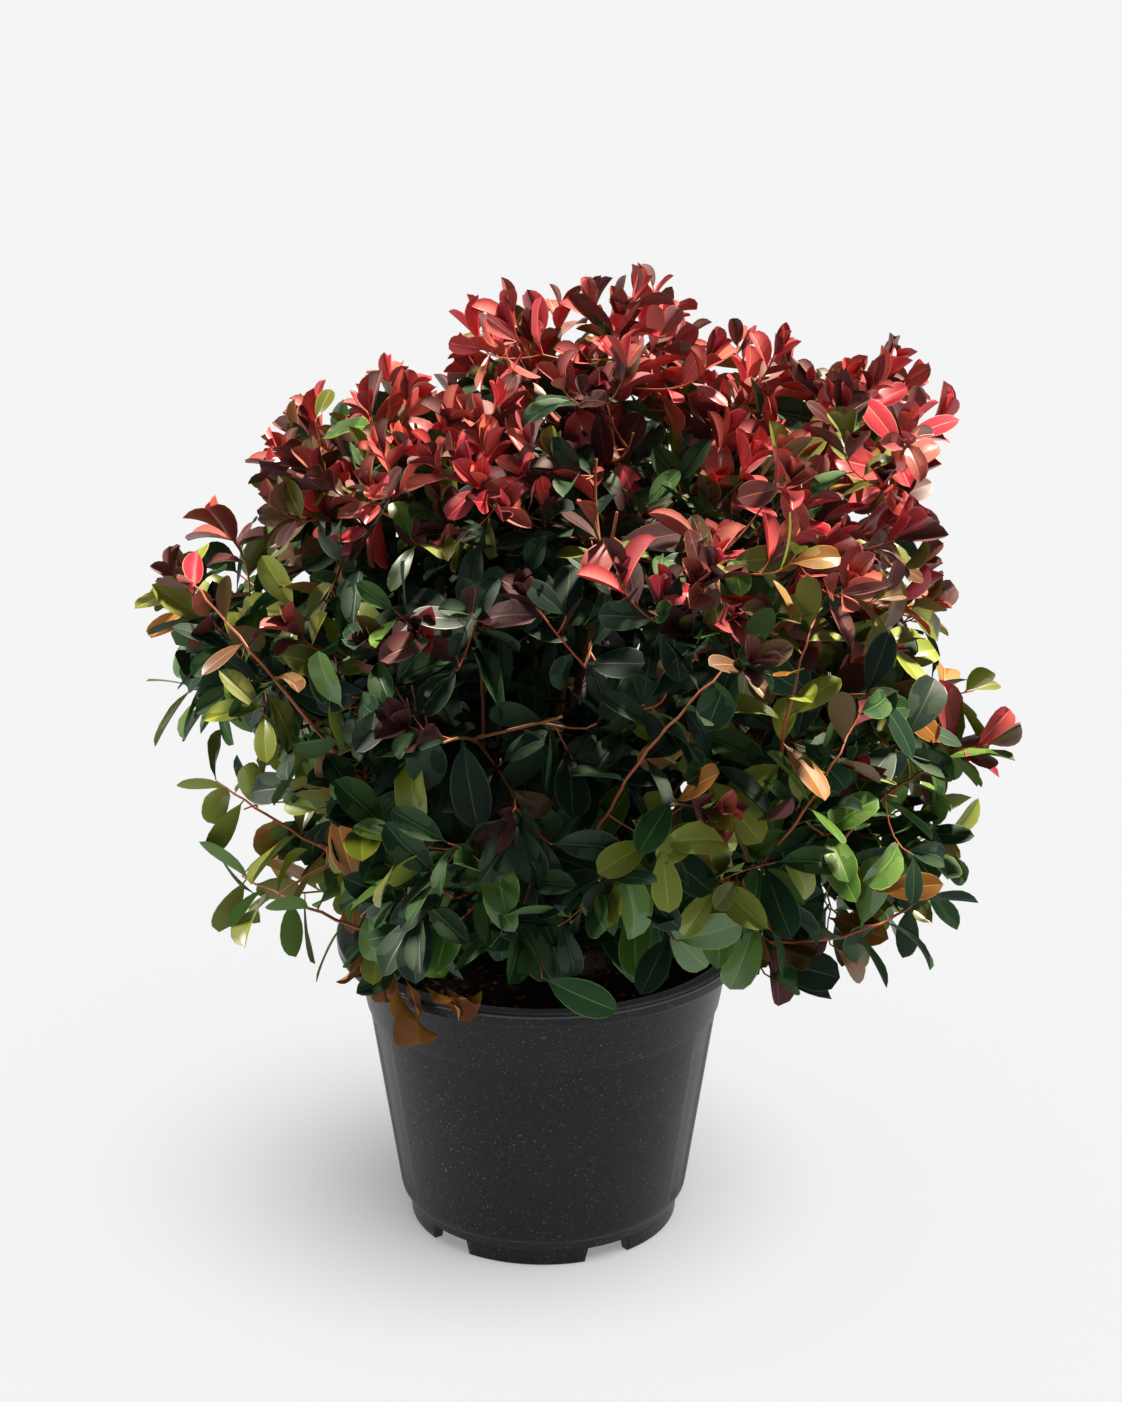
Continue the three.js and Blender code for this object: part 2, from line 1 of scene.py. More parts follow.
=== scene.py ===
# %% [markdown]
# # A photinia shrub in a nursery pot
#
# The pot and compost are spun and shaped with bmesh. The limbs are tubes with
# bark relief. The twigs grow by the rule of the part's own solids, carried on to
# finer shoots. Each shoot gets leaves, copied from a few shapes into joined meshes.
# Sizes are in millimetres until a mesh is made, and MM turns them into metres.

# %% Load the frame
import math

import bmesh
import bpy
import numpy as np
from mathutils import Matrix, Vector, noise


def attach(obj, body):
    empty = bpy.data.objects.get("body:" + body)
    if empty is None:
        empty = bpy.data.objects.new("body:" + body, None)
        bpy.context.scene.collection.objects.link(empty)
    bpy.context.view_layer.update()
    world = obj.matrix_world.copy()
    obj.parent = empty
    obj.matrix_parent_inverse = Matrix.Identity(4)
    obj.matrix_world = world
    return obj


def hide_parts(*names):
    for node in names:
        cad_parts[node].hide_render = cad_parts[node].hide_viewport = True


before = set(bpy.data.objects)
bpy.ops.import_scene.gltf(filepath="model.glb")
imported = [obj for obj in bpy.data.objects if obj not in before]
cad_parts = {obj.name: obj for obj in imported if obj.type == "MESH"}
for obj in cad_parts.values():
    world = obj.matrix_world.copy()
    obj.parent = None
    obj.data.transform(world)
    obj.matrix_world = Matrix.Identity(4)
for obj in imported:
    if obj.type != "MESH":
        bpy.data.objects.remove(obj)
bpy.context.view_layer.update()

MM = 0.001
scene = bpy.context.scene
print("nodes in the frame:", len(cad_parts))

# %% [markdown]
# ## Sizes
#
# The pot, the trunk and the crown's spaces have the sizes that the part's
# source names. The crown is drawn from its outline: how far it reaches from its
# centre at each angle, seen from the front.

# %% Sizes of the pot, the compost and the trunk
POT_RADIUS = 150
POT_HEIGHT = 223
LIP_HEIGHT = 11
LIP_WIDTH = 12.5
COLLAR_RADIUS = 136
SEAM_HEIGHT = 169
SEAM_RADIUS = 128.5
SEAM_STEP = 1.6
BODY_RADIUS = 104.5
FOOT_HEIGHT = 18
FOOT_RADIUS = 99
FOOT_WIDTH = 8
FLOOR_HEIGHT = 11
WALL = 2.4
PAD_RADIUS = 24
NOTCHES = 5
NOTCH_WIDTH = 34
NOTCH_TURN = -8
FLUTE_CENTRES = (-112, -68, 68, 112)
FLUTE_HALF_WIDTH = 8
FLUTE_EDGE = 1.4
FLUTE_DEPTH = 1.3
POT_STEPS = 240
SOIL_HEIGHT = 212
SOIL_DROP = 3
SOIL_FLAT_RADIUS = 40
SOIL_RADIUS = 132
SOIL_SKIRT = 12
CHIP_RADIUS = 128
TRUNK_HEIGHT = 34
TRUNK_FLARE = 24
TRUNK_WAIST = 15.5
TRUNK_TOP = 17
FORK_RADIUS = 11.2

# %% Sizes of the crown
CROWN_CENTRE = np.array([15.0, 0.0, 420.0])
CROWN_OUTLINE = [
    (0, 312), (22, 312), (44, 346), (62, 314), (80, 312), (100, 304), (128, 284), (150, 278),
    (164, 336), (188, 298), (212, 312), (240, 318), (300, 320), (330, 342), (350, 340), (360, 312),
]
# How far the leaves reach, inside the outline that shapes the limbs
LEAF_OUTLINE = [
    (0, 260), (20, 252), (31, 304), (40, 322), (50, 296), (62, 256), (80, 266), (92, 248), (101, 262),
    (112, 234), (130, 246), (140, 250), (152, 242), (166, 296), (178, 252), (192, 254), (201, 240),
    (211, 216), (219, 240), (240, 288), (300, 300), (320, 304), (334, 306), (346, 300), (352, 292),
    (360, 260),
]
CROWN_DEPTH = 290
SKIRT_HEIGHT = 176
SKIRT_RISE = 66
RIM_VIEW_RISE = 46
RIM_VIEW_WIDTH = 85
RIM_VIEW_CENTRE = 32
LOWEST_SINE = -0.8
HIGHEST_SINE = 0.995
# Tiers of masses: how many, how high and where the first one is
TIERS = {"low": (5, -25, 18), "mid": (5, 8, 54), "high": (4, 42, 10), "top": (1, 82, 75)}
CENTRE_SHARE = 0.64

# The growth: main twigs as in the solids, then finer shoots between them
TWIG_COUNT = 110
SHOOT_COUNT = 1150
LEAF_OVERHANG = 26
LEADER_OVERHANG = 96
LEAF_BOX = [322, 290, 304]
TWIG_MARGIN = 40
SHOOT_MARGIN = 20
SHORTEST_TWIG = 30
SHORTEST_SHOOT = 16
TURN_COST = 0.55
RUN_COST = 0.12
TWIG_RISE = 0.2
SHOOT_RISE = 0.95
THINNING = 0.7
LEADER_MARGIN = 26
# Sprays that stand out of the crown: angle seen from the front, reach, and how
# far back they lean
LEADERS = [
    (36, 308, 0.1), (46, 326, -0.1), (57, 298, 0.1), (67, 280, -0.1), (80, 300, 0.0), (74, 280, 0.15),
    (98, 294, -0.1), (104, 276, 0.1), (124, 266, -0.1), (134, 274, 0.1), (142, 266, -0.1),
    (160, 290, 0.2), (164, 304, -0.1), (169, 296, 0.05), (184, 300, 0.1), (192, 314, -0.15),
    (205, 316, 0.0), (216, 300, -0.1), (228, 290, -0.15), (223, 262, -0.3), (231, 268, -0.4),
    (239, 264, -0.55), (318, 306, -0.1), (326, 316, 0.1), (334, 322, -0.1), (345, 312, 0.1),
    (351, 336, -0.05), (355, 322, 0.1), (8, 284, 0.1), (17, 280, -0.15),
]
GOLDEN_ANGLE = 137.5
# How far down the camera looks
VIEW_DOWN = 20
# Stems that show between the leaves: where each leaves the wood, a point on its
# way and its tip
SHOWN_STEMS = [
    ((-107, -110, 365), (-178, -178, 482), (-236, -80, 513)),
    ((-120, -60, 274), (-169, -70, 323), (-230, -30, 348)),
    ((-98, -110, 267), (-154, -105, 280), (-212, -50, 284)),
    ((-33, -150, 275), (-62, -232, 348), (-73, -225, 370)),
    ((32, -170, 317), (68, -254, 455), (128, -225, 510)),
    ((147, -140, 341), (172, -215, 403), (209, -170, 449)),
    ((171, -110, 263), (222, -100, 264), (278, -20, 263)),
    ((189, -90, 305), (228, -90, 353), (295, 0, 358)),
    ((138, -170, 418), (160, -220, 478), (177, -185, 521)),
]
STEM_INDEX = 2000
STEM_CLEARANCE = 11
STEM_KINK = 2.2
# Hollows in the crown, where one looks past the outer sprays: centre, half sizes
HOLLOWS = [
    ((76, -165, 626), (70, 105, 40)),
    ((2, -285, 480), (88, 90, 80)),
]

# %% [markdown]
# ## Small helpers
#
# For colours, meshes and tubes. Each object hides the solids that it stands for,
# and it moves with the root body.


# %% Helpers for colours and objects
def colour(web):
    """A web colour as linear red, green, blue and alpha."""
    parts = [int(web[i : i + 2], 16) / 255 for i in (1, 3, 5)]
    linear = [p / 12.92 if p <= 0.04045 else ((p + 0.055) / 1.055) ** 2.4 for p in parts]
    return (*linear, 1.0)


def place(name, mesh, materials, slot, nodes):
    """Adds a mesh to the scene as a piece that stands for some of the solids."""
    for material in materials:
        mesh.materials.append(material)
    piece = bpy.data.objects.new(name, mesh)
    scene.collection.objects.link(piece)
    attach(piece, "root")
    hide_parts(*nodes)
    return piece


def mesh_from(bm, name, smooth=True):
    """Turns a bmesh in millimetres into a mesh in metres."""
    bmesh.ops.scale(bm, vec=(MM, MM, MM), verts=bm.verts)
    mesh = bpy.data.meshes.new(name)
    bm.to_mesh(mesh)
    bm.free()
    mesh.shade_smooth() if smooth else mesh.shade_flat()
    return mesh


def joined(blocks):
    """Blocks of (points in mm, quads, material numbers) as one block."""
    points, quads, slots = zip(*blocks)
    starts = np.cumsum([0] + [len(block) for block in points[:-1]])
    quads = [block + start for block, start in zip(quads, starts)]
    return np.concatenate(points), np.concatenate(quads), np.concatenate(slots)


def joined_mesh(name, blocks):
    """One mesh of quads from many blocks."""
    points, quads, slots = joined(blocks)
    mesh = bpy.data.meshes.new(name)
    mesh.vertices.add(len(points))
    mesh.vertices.foreach_set("co", (points * MM).astype(np.float32).ravel())
    mesh.loops.add(quads.size)
    mesh.loops.foreach_set("vertex_index", quads.astype(np.int32).ravel())
    mesh.polygons.add(len(quads))
    mesh.polygons.foreach_set("loop_start", np.arange(0, quads.size, 4, dtype=np.int32))
    mesh.polygons.foreach_set("material_index", slots.astype(np.int32))
    mesh.update(calc_edges=True)
    mesh.shade_smooth()
    return mesh


def unit(vectors):
    """The same vectors with a length of one."""
    return vectors / np.linalg.norm(vectors, axis=-1, keepdims=True)


def tube(points, radii, sides, slot=0):
    """Points, quads and slots of a tube along a line, open at its ends."""
    ahead = unit(np.gradient(points, axis=0))
    side = np.zeros_like(points)
    last = np.array([0.31, 0.95, 0.05])
    for k, direction in enumerate(ahead):
        last = unit(last - direction * (last @ direction))
        side[k] = last
    over = np.cross(ahead, side)
    steps = np.arange(sides)
    turn = (steps * math.tau / sides)[:, None]
    around = side[:, None] * np.cos(turn) + over[:, None] * np.sin(turn)
    rings = points[:, None] + around * np.asarray(radii)[:, None, None]
    base = np.arange(len(points) - 1)[:, None] * sides
    first, second = base + steps, base + (steps + 1) % sides
    quads = np.stack([first, second, second + sides, first + sides], -1).reshape(-1, 4)
    return rings.reshape(-1, 3), quads, np.full(len(quads), slot)


def closed(points, radii):
    """A line carried on a little, with radii that close its tube at both ends."""
    first = points[0] - 0.3 * unit(points[1] - points[0])
    last = points[-1] + 0.3 * unit(points[-1] - points[-2])
    return np.concatenate([[first], points, [last]]), np.concatenate([[0.02], radii, [0.02]])


# %% [markdown]
# ## Shader groups
#
# The grain that several materials share is a node group with sockets of its own.
# All patterns read the object's own coordinates, so they move with the shrub.


# %% Node groups
def add_node(tree, kind, inputs, **settings):
    """Adds a node whose inputs are numbers, web colours or other nodes' outputs."""
    node = tree.nodes.new(kind)
    for label, value in settings.items():
        setattr(node, label, value)
    for label, value in inputs.items():
        if isinstance(value, bpy.types.NodeSocket):
            tree.links.new(value, node.inputs[label])
        else:
            node.inputs[label].default_value = colour(value) if isinstance(value, str) else value
    return node


def add_ramp(tree, value, low, high, start=0.0, end=1.0):
    """Maps a value from low..high to start..end, and holds it there."""
    inputs = {"Value": value, "From Min": low, "From Max": high, "To Min": start, "To Max": end}
    return add_node(tree, "ShaderNodeMapRange", inputs).outputs["Result"]


def add_patches(tree, position, size, low, high, most=1.0, detail=3.0, roughness=0.55):
    """Noise of a size in metres, as a share from 0 at low to most at high."""
    inputs = {"Vector": position, "Scale": 1 / size, "Detail": detail, "Roughness": roughness}
    texture = add_node(tree, "ShaderNodeTexNoise", inputs)
    return add_ramp(tree, texture.outputs["Fac"], low, high, 0, most)


def add_product(tree, first, *others):
    """Multiplies shares with each other."""
    for other in others:
        first = add_node(tree, "ShaderNodeMath", {0: first, 1: other}, operation="MULTIPLY").outputs[0]
    return first


def add_mix(tree, share, first, second):
    """Mixes two colours."""
    inputs = {"Factor": share, 6: first, 7: second}
    return add_node(tree, "ShaderNodeMix", inputs, data_type="RGBA").outputs[2]


def grain_group():
    """Bump from a noise of a stated scale and height."""
    tree = bpy.data.node_groups.new("Grain", "ShaderNodeTree")
    for label, kind in (("Vector", "Vector"), ("Scale", "Float"), ("Height", "Float")):
        tree.interface.new_socket(label, in_out="INPUT", socket_type=f"NodeSocket{kind}")
    tree.interface.new_socket("Normal", in_out="OUTPUT", socket_type="NodeSocketVector")
    given = tree.nodes.new("NodeGroupInput").outputs
    inputs = {"Vector": given["Vector"], "Scale": given["Scale"], "Detail": 4}
    texture = add_node(tree, "ShaderNodeTexNoise", inputs)
    inputs = {"Distance": given["Height"], "Height": texture.outputs["Fac"]}
    bump = add_node(tree, "ShaderNodeBump", inputs)
    add_node(tree, "NodeGroupOutput", {"Normal": bump.outputs["Normal"]})
    return tree


GRAIN = grain_group()


def new_material(name, web, roughness, specular=0.5):
    """A material with one Principled shader, with its node tree and that shader."""
    material = bpy.data.materials.new(name)
    material.use_nodes = True
    shader = material.node_tree.nodes["Principled BSDF"]
    shader.inputs["Base Color"].default_value = colour(web)
    shader.inputs["Roughness"].default_value = roughness
    shader.inputs["Specular IOR Level"].default_value = specular
    material.diffuse_color = colour(web)
    return material, material.node_tree, shader


def plain(*look):
    """A material of one colour: its name, web colour, roughness and specular level."""
    return new_material(*look)[0]


def add_grain(tree, shader, position, scale, height):
    """Joins the grain group to a shader's normal."""
    inputs = {"Vector": position, "Scale": scale, "Height": height}
    group = add_node(tree, "ShaderNodeGroup", inputs, node_tree=GRAIN)
    tree.links.new(group.outputs["Normal"], shader.inputs["Normal"])


print("node groups:", [group.name for group in bpy.data.node_groups])

# %% [markdown]
# ## Materials of the pot, compost and wood
#
# The pot's plastic is charcoal with fine pale specks, a pale patch low on its right
# side that is partly a dusty scuff and partly painted light where the sun falls on
# that flank, and some dried soil on its foot. The lip has a glossy plastic.


# %% Pot, compost and bark materials
def pot_material():
    material, tree, shader = new_material("charcoal plastic", "#1f2024", 0.42, 0.24)
    position = tree.nodes.new("ShaderNodeTexCoord").outputs["Object"]
    patches = [
        (0.06, 0.35, 0.7),
        (0.0035, 0.35, 0.7, 0.6, 4.0, 0.7),
        (0.0016, 0.66, 0.76, 0.6, 1.0),
        (0.011, 0.45, 0.7, 0.45, 5.0, 0.7),
        (0.006, 0.6, 0.72, 0.7, 4.0, 0.7),
    ]
    cloud, mottle, specks, dust_and_light_patches, soiled = [add_patches(tree, position, *patch) for patch in patches]
    split = add_node(tree, "ShaderNodeSeparateXYZ", {0: position})
    right = add_ramp(tree, split.outputs["X"], 0.086, 0.118)
    low = add_ramp(tree, split.outputs["Z"], 0.15, 0.1)
    foot = add_ramp(tree, split.outputs["Z"], 0.03, 0.004)
    side = add_ramp(tree, split.outputs["X"], -0.02, 0.09, 0.15, 1)
    # The pale patch low on the right is dust, and also painted light on the sunlit flank
    dust_and_lit_flank = add_product(tree, right, low, dust_and_light_patches)
    crust = add_product(tree, foot, soiled, side)
    tone = add_mix(tree, cloud, "#0b0c0f", "#121317")
    for share, web in ((mottle, "#212226"), (specks, "#7c7d80"), (dust_and_lit_flank, "#6e6a64"), (crust, "#6a4a34")):
        tone = add_mix(tree, share, tone, web)
    tree.links.new(tone, shader.inputs["Base Color"])
    tree.links.new(add_ramp(tree, dust_and_lit_flank, 0, 1, 0.38, 0.68), shader.inputs["Roughness"])
    add_grain(tree, shader, position, 900, 0.00012)
    return material


def patchy_material(name, web, gloss, patches, webs, grain):
    """Two colours in patches, with a grain of (scale, height) on them."""
    material, tree, shader = new_material(name, web, *gloss)
    position = tree.nodes.new("ShaderNodeTexCoord").outputs["Object"]
    tone = add_mix(tree, add_patches(tree, position, *patches), *webs)
    tree.links.new(tone, shader.inputs["Base Color"])
    add_grain(tree, shader, position, *grain)
    return material


pot_plastic = pot_material()
lip_plastic = plain("glossy plastic", "#17181b", 0.24, 0.75)
compost = patchy_material(
    "compost", "#241a13", gloss=(0.92, 0.25), patches=(0.004, 0.35, 0.68, 1, 6.0, 0.7),
    webs=("#120d0a", "#3a2a1e"), grain=(420, 0.0016),
)
bark = patchy_material(
    "bark", "#6b4a36", gloss=(0.78, 0.3), patches=(0.007, 0.32, 0.7, 1, 5.0, 0.65),
    webs=("#4a3022", "#8a6448"), grain=(380, 0.0008),
)
old_twig = plain("old twig", "#93603e", 0.6, 0.4)
young_twig = plain("young twig", "#a2512f", 0.5)
chip_browns = [
    plain("chip dark", "#2c1d14", 0.9, 0.3),
    plain("chip brown", "#53382a", 0.85, 0.3),
    plain("chip tan", "#86654a", 0.85, 0.3),
]
perlite = plain("perlite", "#cfcac0", 0.9, 0.3)
print("materials:", len(bpy.data.materials))

# %% [markdown]
# ## The pot
#
# The wall is one profile of rounded corners, spun about the pot's axis. Then the
# flutes are pressed in, and the foot ring is lifted at its drainage notches.


# %% The pot's profile, spun
def rounded(corners, steps=4):
    """A line through corners of (radius, height, rounding), each rounded off."""
    places = [Vector((radius, 0, height)) for radius, height, _ in corners]
    line = []
    for k, corner in enumerate(places):
        size = corners[k][2]
        if size == 0:
            line.append(corner)
            continue
        back, on = places[k - 1] - corner, places[k + 1] - corner
        start = corner + back.normalized() * min(size, back.length * 0.48)
        end = corner + on.normalized() * min(size, on.length * 0.48)
        for step in range(steps + 1):
            share = step / steps
            line.append(start.lerp(corner, share).lerp(corner.lerp(end, share), share))
    return line


def body_radius(height):
    share = (height - FOOT_HEIGHT) / (SEAM_HEIGHT - FOOT_HEIGHT)
    return BODY_RADIUS + (SEAM_RADIUS - SEAM_STEP - BODY_RADIUS) * share


def spun(line, steps):
    """A bmesh with a line spun once round the Z axis."""
    bm = bmesh.new()
    verts = [bm.verts.new(point) for point in line]
    edges = [bm.edges.new(pair) for pair in zip(verts, verts[1:])]
    whole = {"angle": math.tau, "steps": steps, "use_merge": True}
    bmesh.ops.spin(bm, geom=verts + edges, cent=(0, 0, 0), axis=(0, 0, 1), **whole)
    bmesh.ops.remove_doubles(bm, verts=bm.verts, dist=0.001)
    bmesh.ops.recalc_face_normals(bm, faces=bm.faces)
    return bm


def angle_between(one, other):
    return abs((one - other + 180) % 360 - 180)


def make_pot():
    lip_base = POT_HEIGHT - LIP_HEIGHT
    floor_top = FLOOR_HEIGHT + WALL
    flute_low, flute_high = FOOT_HEIGHT + 12, SEAM_HEIGHT - 8
    foot_inside = FOOT_RADIUS - FOOT_WIDTH
    wall_rows = [flute_low + (flute_high - flute_low) * k / 6 for k in range(7)]
    corners = [
        (0, 0, 0), (PAD_RADIUS, 0, 1), (PAD_RADIUS, FLOOR_HEIGHT, 1.5),
        (foot_inside, FLOOR_HEIGHT, 1.5), (foot_inside, 0, 1),
        (FOOT_RADIUS - 1, 0, 1.6), (FOOT_RADIUS, FOOT_HEIGHT, 0.9),
        (BODY_RADIUS, FOOT_HEIGHT + 3, 2.5), (body_radius(flute_low - 3), flute_low - 3, 0),
        *[(body_radius(height), height, 0) for height in wall_rows],
        (body_radius(flute_high + 3), flute_high + 3, 0), (body_radius(SEAM_HEIGHT), SEAM_HEIGHT, 0.5),
        (SEAM_RADIUS, SEAM_HEIGHT + 1, 0.6), (COLLAR_RADIUS, lip_base, 2.2),
        (POT_RADIUS - 1, lip_base, 2), (POT_RADIUS, POT_HEIGHT, 3.4),
        (POT_RADIUS - LIP_WIDTH, POT_HEIGHT - 0.5, 2.4), (COLLAR_RADIUS - WALL, lip_base, 2),
        (SEAM_RADIUS - WALL, SEAM_HEIGHT + 1, 0),
        (body_radius(floor_top) - WALL - FLUTE_DEPTH, floor_top, 0), (0, floor_top, 0),
    ]
    bm = spun(rounded(corners), POT_STEPS)
    half_notch = math.degrees(math.asin(NOTCH_WIDTH / 2 / FOOT_RADIUS))
    notch_turns = [NOTCH_TURN + (k + 0.5) * 360 / NOTCHES for k in range(NOTCHES)]
    for vert in bm.verts:
        radius = math.hypot(vert.co.x, vert.co.y)
        azimuth = math.degrees(math.atan2(vert.co.x, -vert.co.y))
        on_ring = radius > foot_inside - 2 and vert.co.z < FLOOR_HEIGHT
        if on_ring and min(angle_between(azimuth, a) for a in notch_turns) < half_notch:
            vert.co.z = FLOOR_HEIGHT
        on_wall = flute_low - 1 < vert.co.z < flute_high + 1
        if on_wall and radius > body_radius(vert.co.z) - 1:
            nearest = min(angle_between(azimuth, a) for a in FLUTE_CENTRES)
            depth = max(0, min(1, (FLUTE_HALF_WIDTH - nearest) / FLUTE_EDGE)) * FLUTE_DEPTH
            share = (radius - depth) / radius
            vert.co.x *= share
            vert.co.y *= share
    for face in bm.faces:
        if min(vert.co.z for vert in face.verts) > lip_base + 2:
            face.material_index = 1
    return place("nursery_pot", mesh_from(bm, "pot"), [pot_plastic, lip_plastic], "pot", ["pot"])


pot = make_pot()
print("pot faces:", len(pot.data.polygons))

# %% [markdown]
# ## The compost
#
# A spun disc with crumbs raised by noise, and on it loose bark chips and a few
# pale grains of perlite.


# %% Compost, chips and perlite
def soil_level(x, y):
    """The height of the compost's surface, without its crumbs."""
    share = max(0, (math.hypot(x, y) - SOIL_FLAT_RADIUS) / (SOIL_RADIUS - SOIL_FLAT_RADIUS))
    return SOIL_HEIGHT - SOIL_DROP * share


def crumbs(x, y):
    point = Vector((x, y, 0))
    return 1.6 * noise.noise(point / 17) + 1.1 * noise.noise(point / 6) + 0.7 * noise.noise(point / 2.7)


def make_compost():
    rim = COLLAR_RADIUS - WALL - 2.2
    rings = 46
    line = [Vector((rim * k / rings, 0, 0)) for k in range(rings + 1)]
    line.append(Vector((rim - 2, 0, -SOIL_SKIRT)))
    bm = spun(line, 150)
    for vert in bm.verts:
        x, y, low = vert.co.x, vert.co.y, vert.co.z < -1
        vert.co.z = soil_level(x, y) + (-SOIL_SKIRT if low else crumbs(x, y))
    return place("compost_surface", mesh_from(bm, "compost"), [compost], "compost", ["compost"])


def make_chips(name, count, sizes, materials, seed):
    """Scatters small broken blocks on the compost."""
    bm = bmesh.new()
    rng = np.random.default_rng(seed)
    for _ in range(count):
        radius = CHIP_RADIUS * math.sqrt(rng.uniform(0.03, 1))
        angle = rng.uniform(0, math.tau)
        x, y = radius * math.cos(angle), radius * math.sin(angle)
        made = bmesh.ops.create_icosphere(bm, subdivisions=1, radius=0.5)["verts"]
        long, wide, thick = rng.uniform(0.6, 1, 3) * np.array(sizes)
        bmesh.ops.scale(bm, vec=(long, wide, thick), verts=made)
        turn = Vector(rng.normal(size=3)).normalized().to_track_quat("Z", "Y")
        lie = Vector((0, 0, 1)).rotation_difference(Vector((*rng.normal(0, 0.25, 2), 1)))
        spin = (lie if thick < wide * 0.6 else turn).to_matrix()
        yaw = Matrix.Rotation(rng.uniform(0, math.tau), 3, "Z")
        bmesh.ops.rotate(bm, verts=made, cent=(0, 0, 0), matrix=spin @ yaw)
        height = soil_level(x, y) + crumbs(x, y) + thick * 0.2
        bmesh.ops.translate(bm, vec=(x, y, height), verts=made)
        number = int(rng.integers(len(materials)))
        for face in {face for vert in made for face in vert.link_faces}:
            face.material_index = number
    mesh = mesh_from(bm, name, smooth=False)
    return place(name, mesh, materials, "compost", ["compost"])


make_compost()
make_chips("bark_chips", 620, (9, 4.5, 2.2), chip_browns, 3)
make_chips("perlite_grains", 34, (3.2, 2.8, 2.6), [perlite], 5)
print("compost, chips and perlite are in place")

# %% [markdown]
# ## The crown's spaces
#
# The crown is shared out among masses of foliage. Each mass's space ends half way
# to its neighbours' centres. Numbers that look random come from one repeatable
# rule, so the shrub is always the same.


# %% Masses and their spaces
def chance(i, j):
    """A repeatable number from 0 to 1 for thing i and purpose j."""
    value = np.sin(i * 12.9898 + j * 78.233) * 43758.5453
    return value - np.floor(value)


def mix(a, b, share):
    return a + (b - a) * share


def heading(azimuth, elevation):
    """A unit vector. Azimuth runs from the front to the right."""
    a, e = np.radians(azimuth), np.radians(elevation)
    return np.array([np.sin(a) * np.cos(e), -np.cos(a) * np.cos(e), np.sin(e)])


def crown_reach(direction, outline=CROWN_OUTLINE):
    """How far an outline is from the crown's centre in a direction."""
    x, y, z = direction
    side = np.interp(np.degrees(np.arctan2(z, x)) % 360, *zip(*outline))
    return mix(side, CROWN_DEPTH, y**2)


masses = []
for tier, (count, elevation, first) in TIERS.items():
    for k in range(count):
        azimuth = first + 360 / count * k
        outward = heading(azimuth, elevation)
        reach = crown_reach(outward)
        centre = CROWN_CENTRE + outward * reach * CENTRE_SHARE
        mass = dict(name=f"{tier}_{k + 1}", tier=tier, azimuth=azimuth)
        masses.append(dict(mass, outward=outward, reach=reach, centre=centre))
CENTRES = np.array([mass["centre"] for mass in masses])
FOLIAGE = [f"foliage_{mass['name']}" for mass in masses]


def inside_space(number, point):
    """How far a point is inside a mass's own space."""
    centre, others = CENTRES[number], np.delete(CENTRES, number, axis=0)
    gaps = ((others + centre) / 2 - point) * unit(others - centre)
    return gaps.sum(-1).min()


print("masses:", [mass["name"] for mass in masses])

# %% [markdown]
# ## Limbs
#
# Limbs fan out from the trunk, and each curves into its own mass. They and the
# trunk are tubes whose surface is moved in and out by noise, as ridged bark.


# %% Limb curves
def along_line(line, marks, places):
    """Points at some places along a line whose own points stand at marks."""
    return np.stack([np.interp(places, marks, row) for row in line.T], -1)


def curve_along(start, bend, end, count):
    """Points and directions at even steps along a quadratic curve."""
    t = np.linspace(0, 1, 200)[:, None]
    line = (1 - t) ** 2 * start + 2 * t * (1 - t) * bend + t**2 * end
    run = np.concatenate([[0], np.cumsum(np.linalg.norm(np.diff(line, axis=0), axis=1))])
    steps = np.linspace(0, run[-1], count + 1)
    points = along_line(line, run, steps)
    return points, unit(np.gradient(points, axis=0)), run[-1]


def limb_line(start, rise, number):
    share = 0.5
    while True:
        share += 0.03
        end = start + (CENTRES[number] - start) * share
        if inside_space(number, end) >= 16 or share >= 0.95:
            break
    bend = start + rise * np.linalg.norm(end - start) * 0.42
    return curve_along(start, bend, end, 60)


TRUNK_TIP = SOIL_HEIGHT + 0.3 + TRUNK_HEIGHT
# For each tier that leaves the trunk: how far from its axis, how far below its
# tip and how steeply its limbs start
LIMB_STARTS = {"mid": (6, 23, 40), "high": (FORK_RADIUS, 5, 76), "top": (0, 5, 90)}
limbs = {}
# The low limbs leave the middle ones, so they come last
for number, mass in sorted(enumerate(masses), key=lambda item: item[1]["tier"] == "low"):
    if mass["tier"] == "low":
        carrier = limbs[f"mid_{mass['name'][-1]}"][0]
        start, rise = carrier[round(0.34 * (len(carrier) - 1))], 28
    else:
        radius, drop, rise = LIMB_STARTS[mass["tier"]]
        start = heading(mass["azimuth"], 0) * radius + [0, 0, TRUNK_TIP - drop]
    limbs[mass["name"]] = limb_line(start, heading(mass["azimuth"], rise), number)


# %% Bark-covered limbs and trunk
def roughened(points, centres, height, size):
    """Moves points away from their centre line by noise."""
    away = unit(points - centres)
    lift = [noise.fractal(Vector(p / size), 0.8, 2.1, 3) for p in points * [1, 1, 0.35]]
    return points + away * (np.array(lift) * height)[:, None]


def bark_tube(points, radii, sides, height):
    points, radii = closed(points, radii)
    skin, quads, slots = tube(points, radii, sides)
    centres = np.repeat(points, sides, axis=0)
    return roughened(skin, centres, height, 3.2), quads, slots


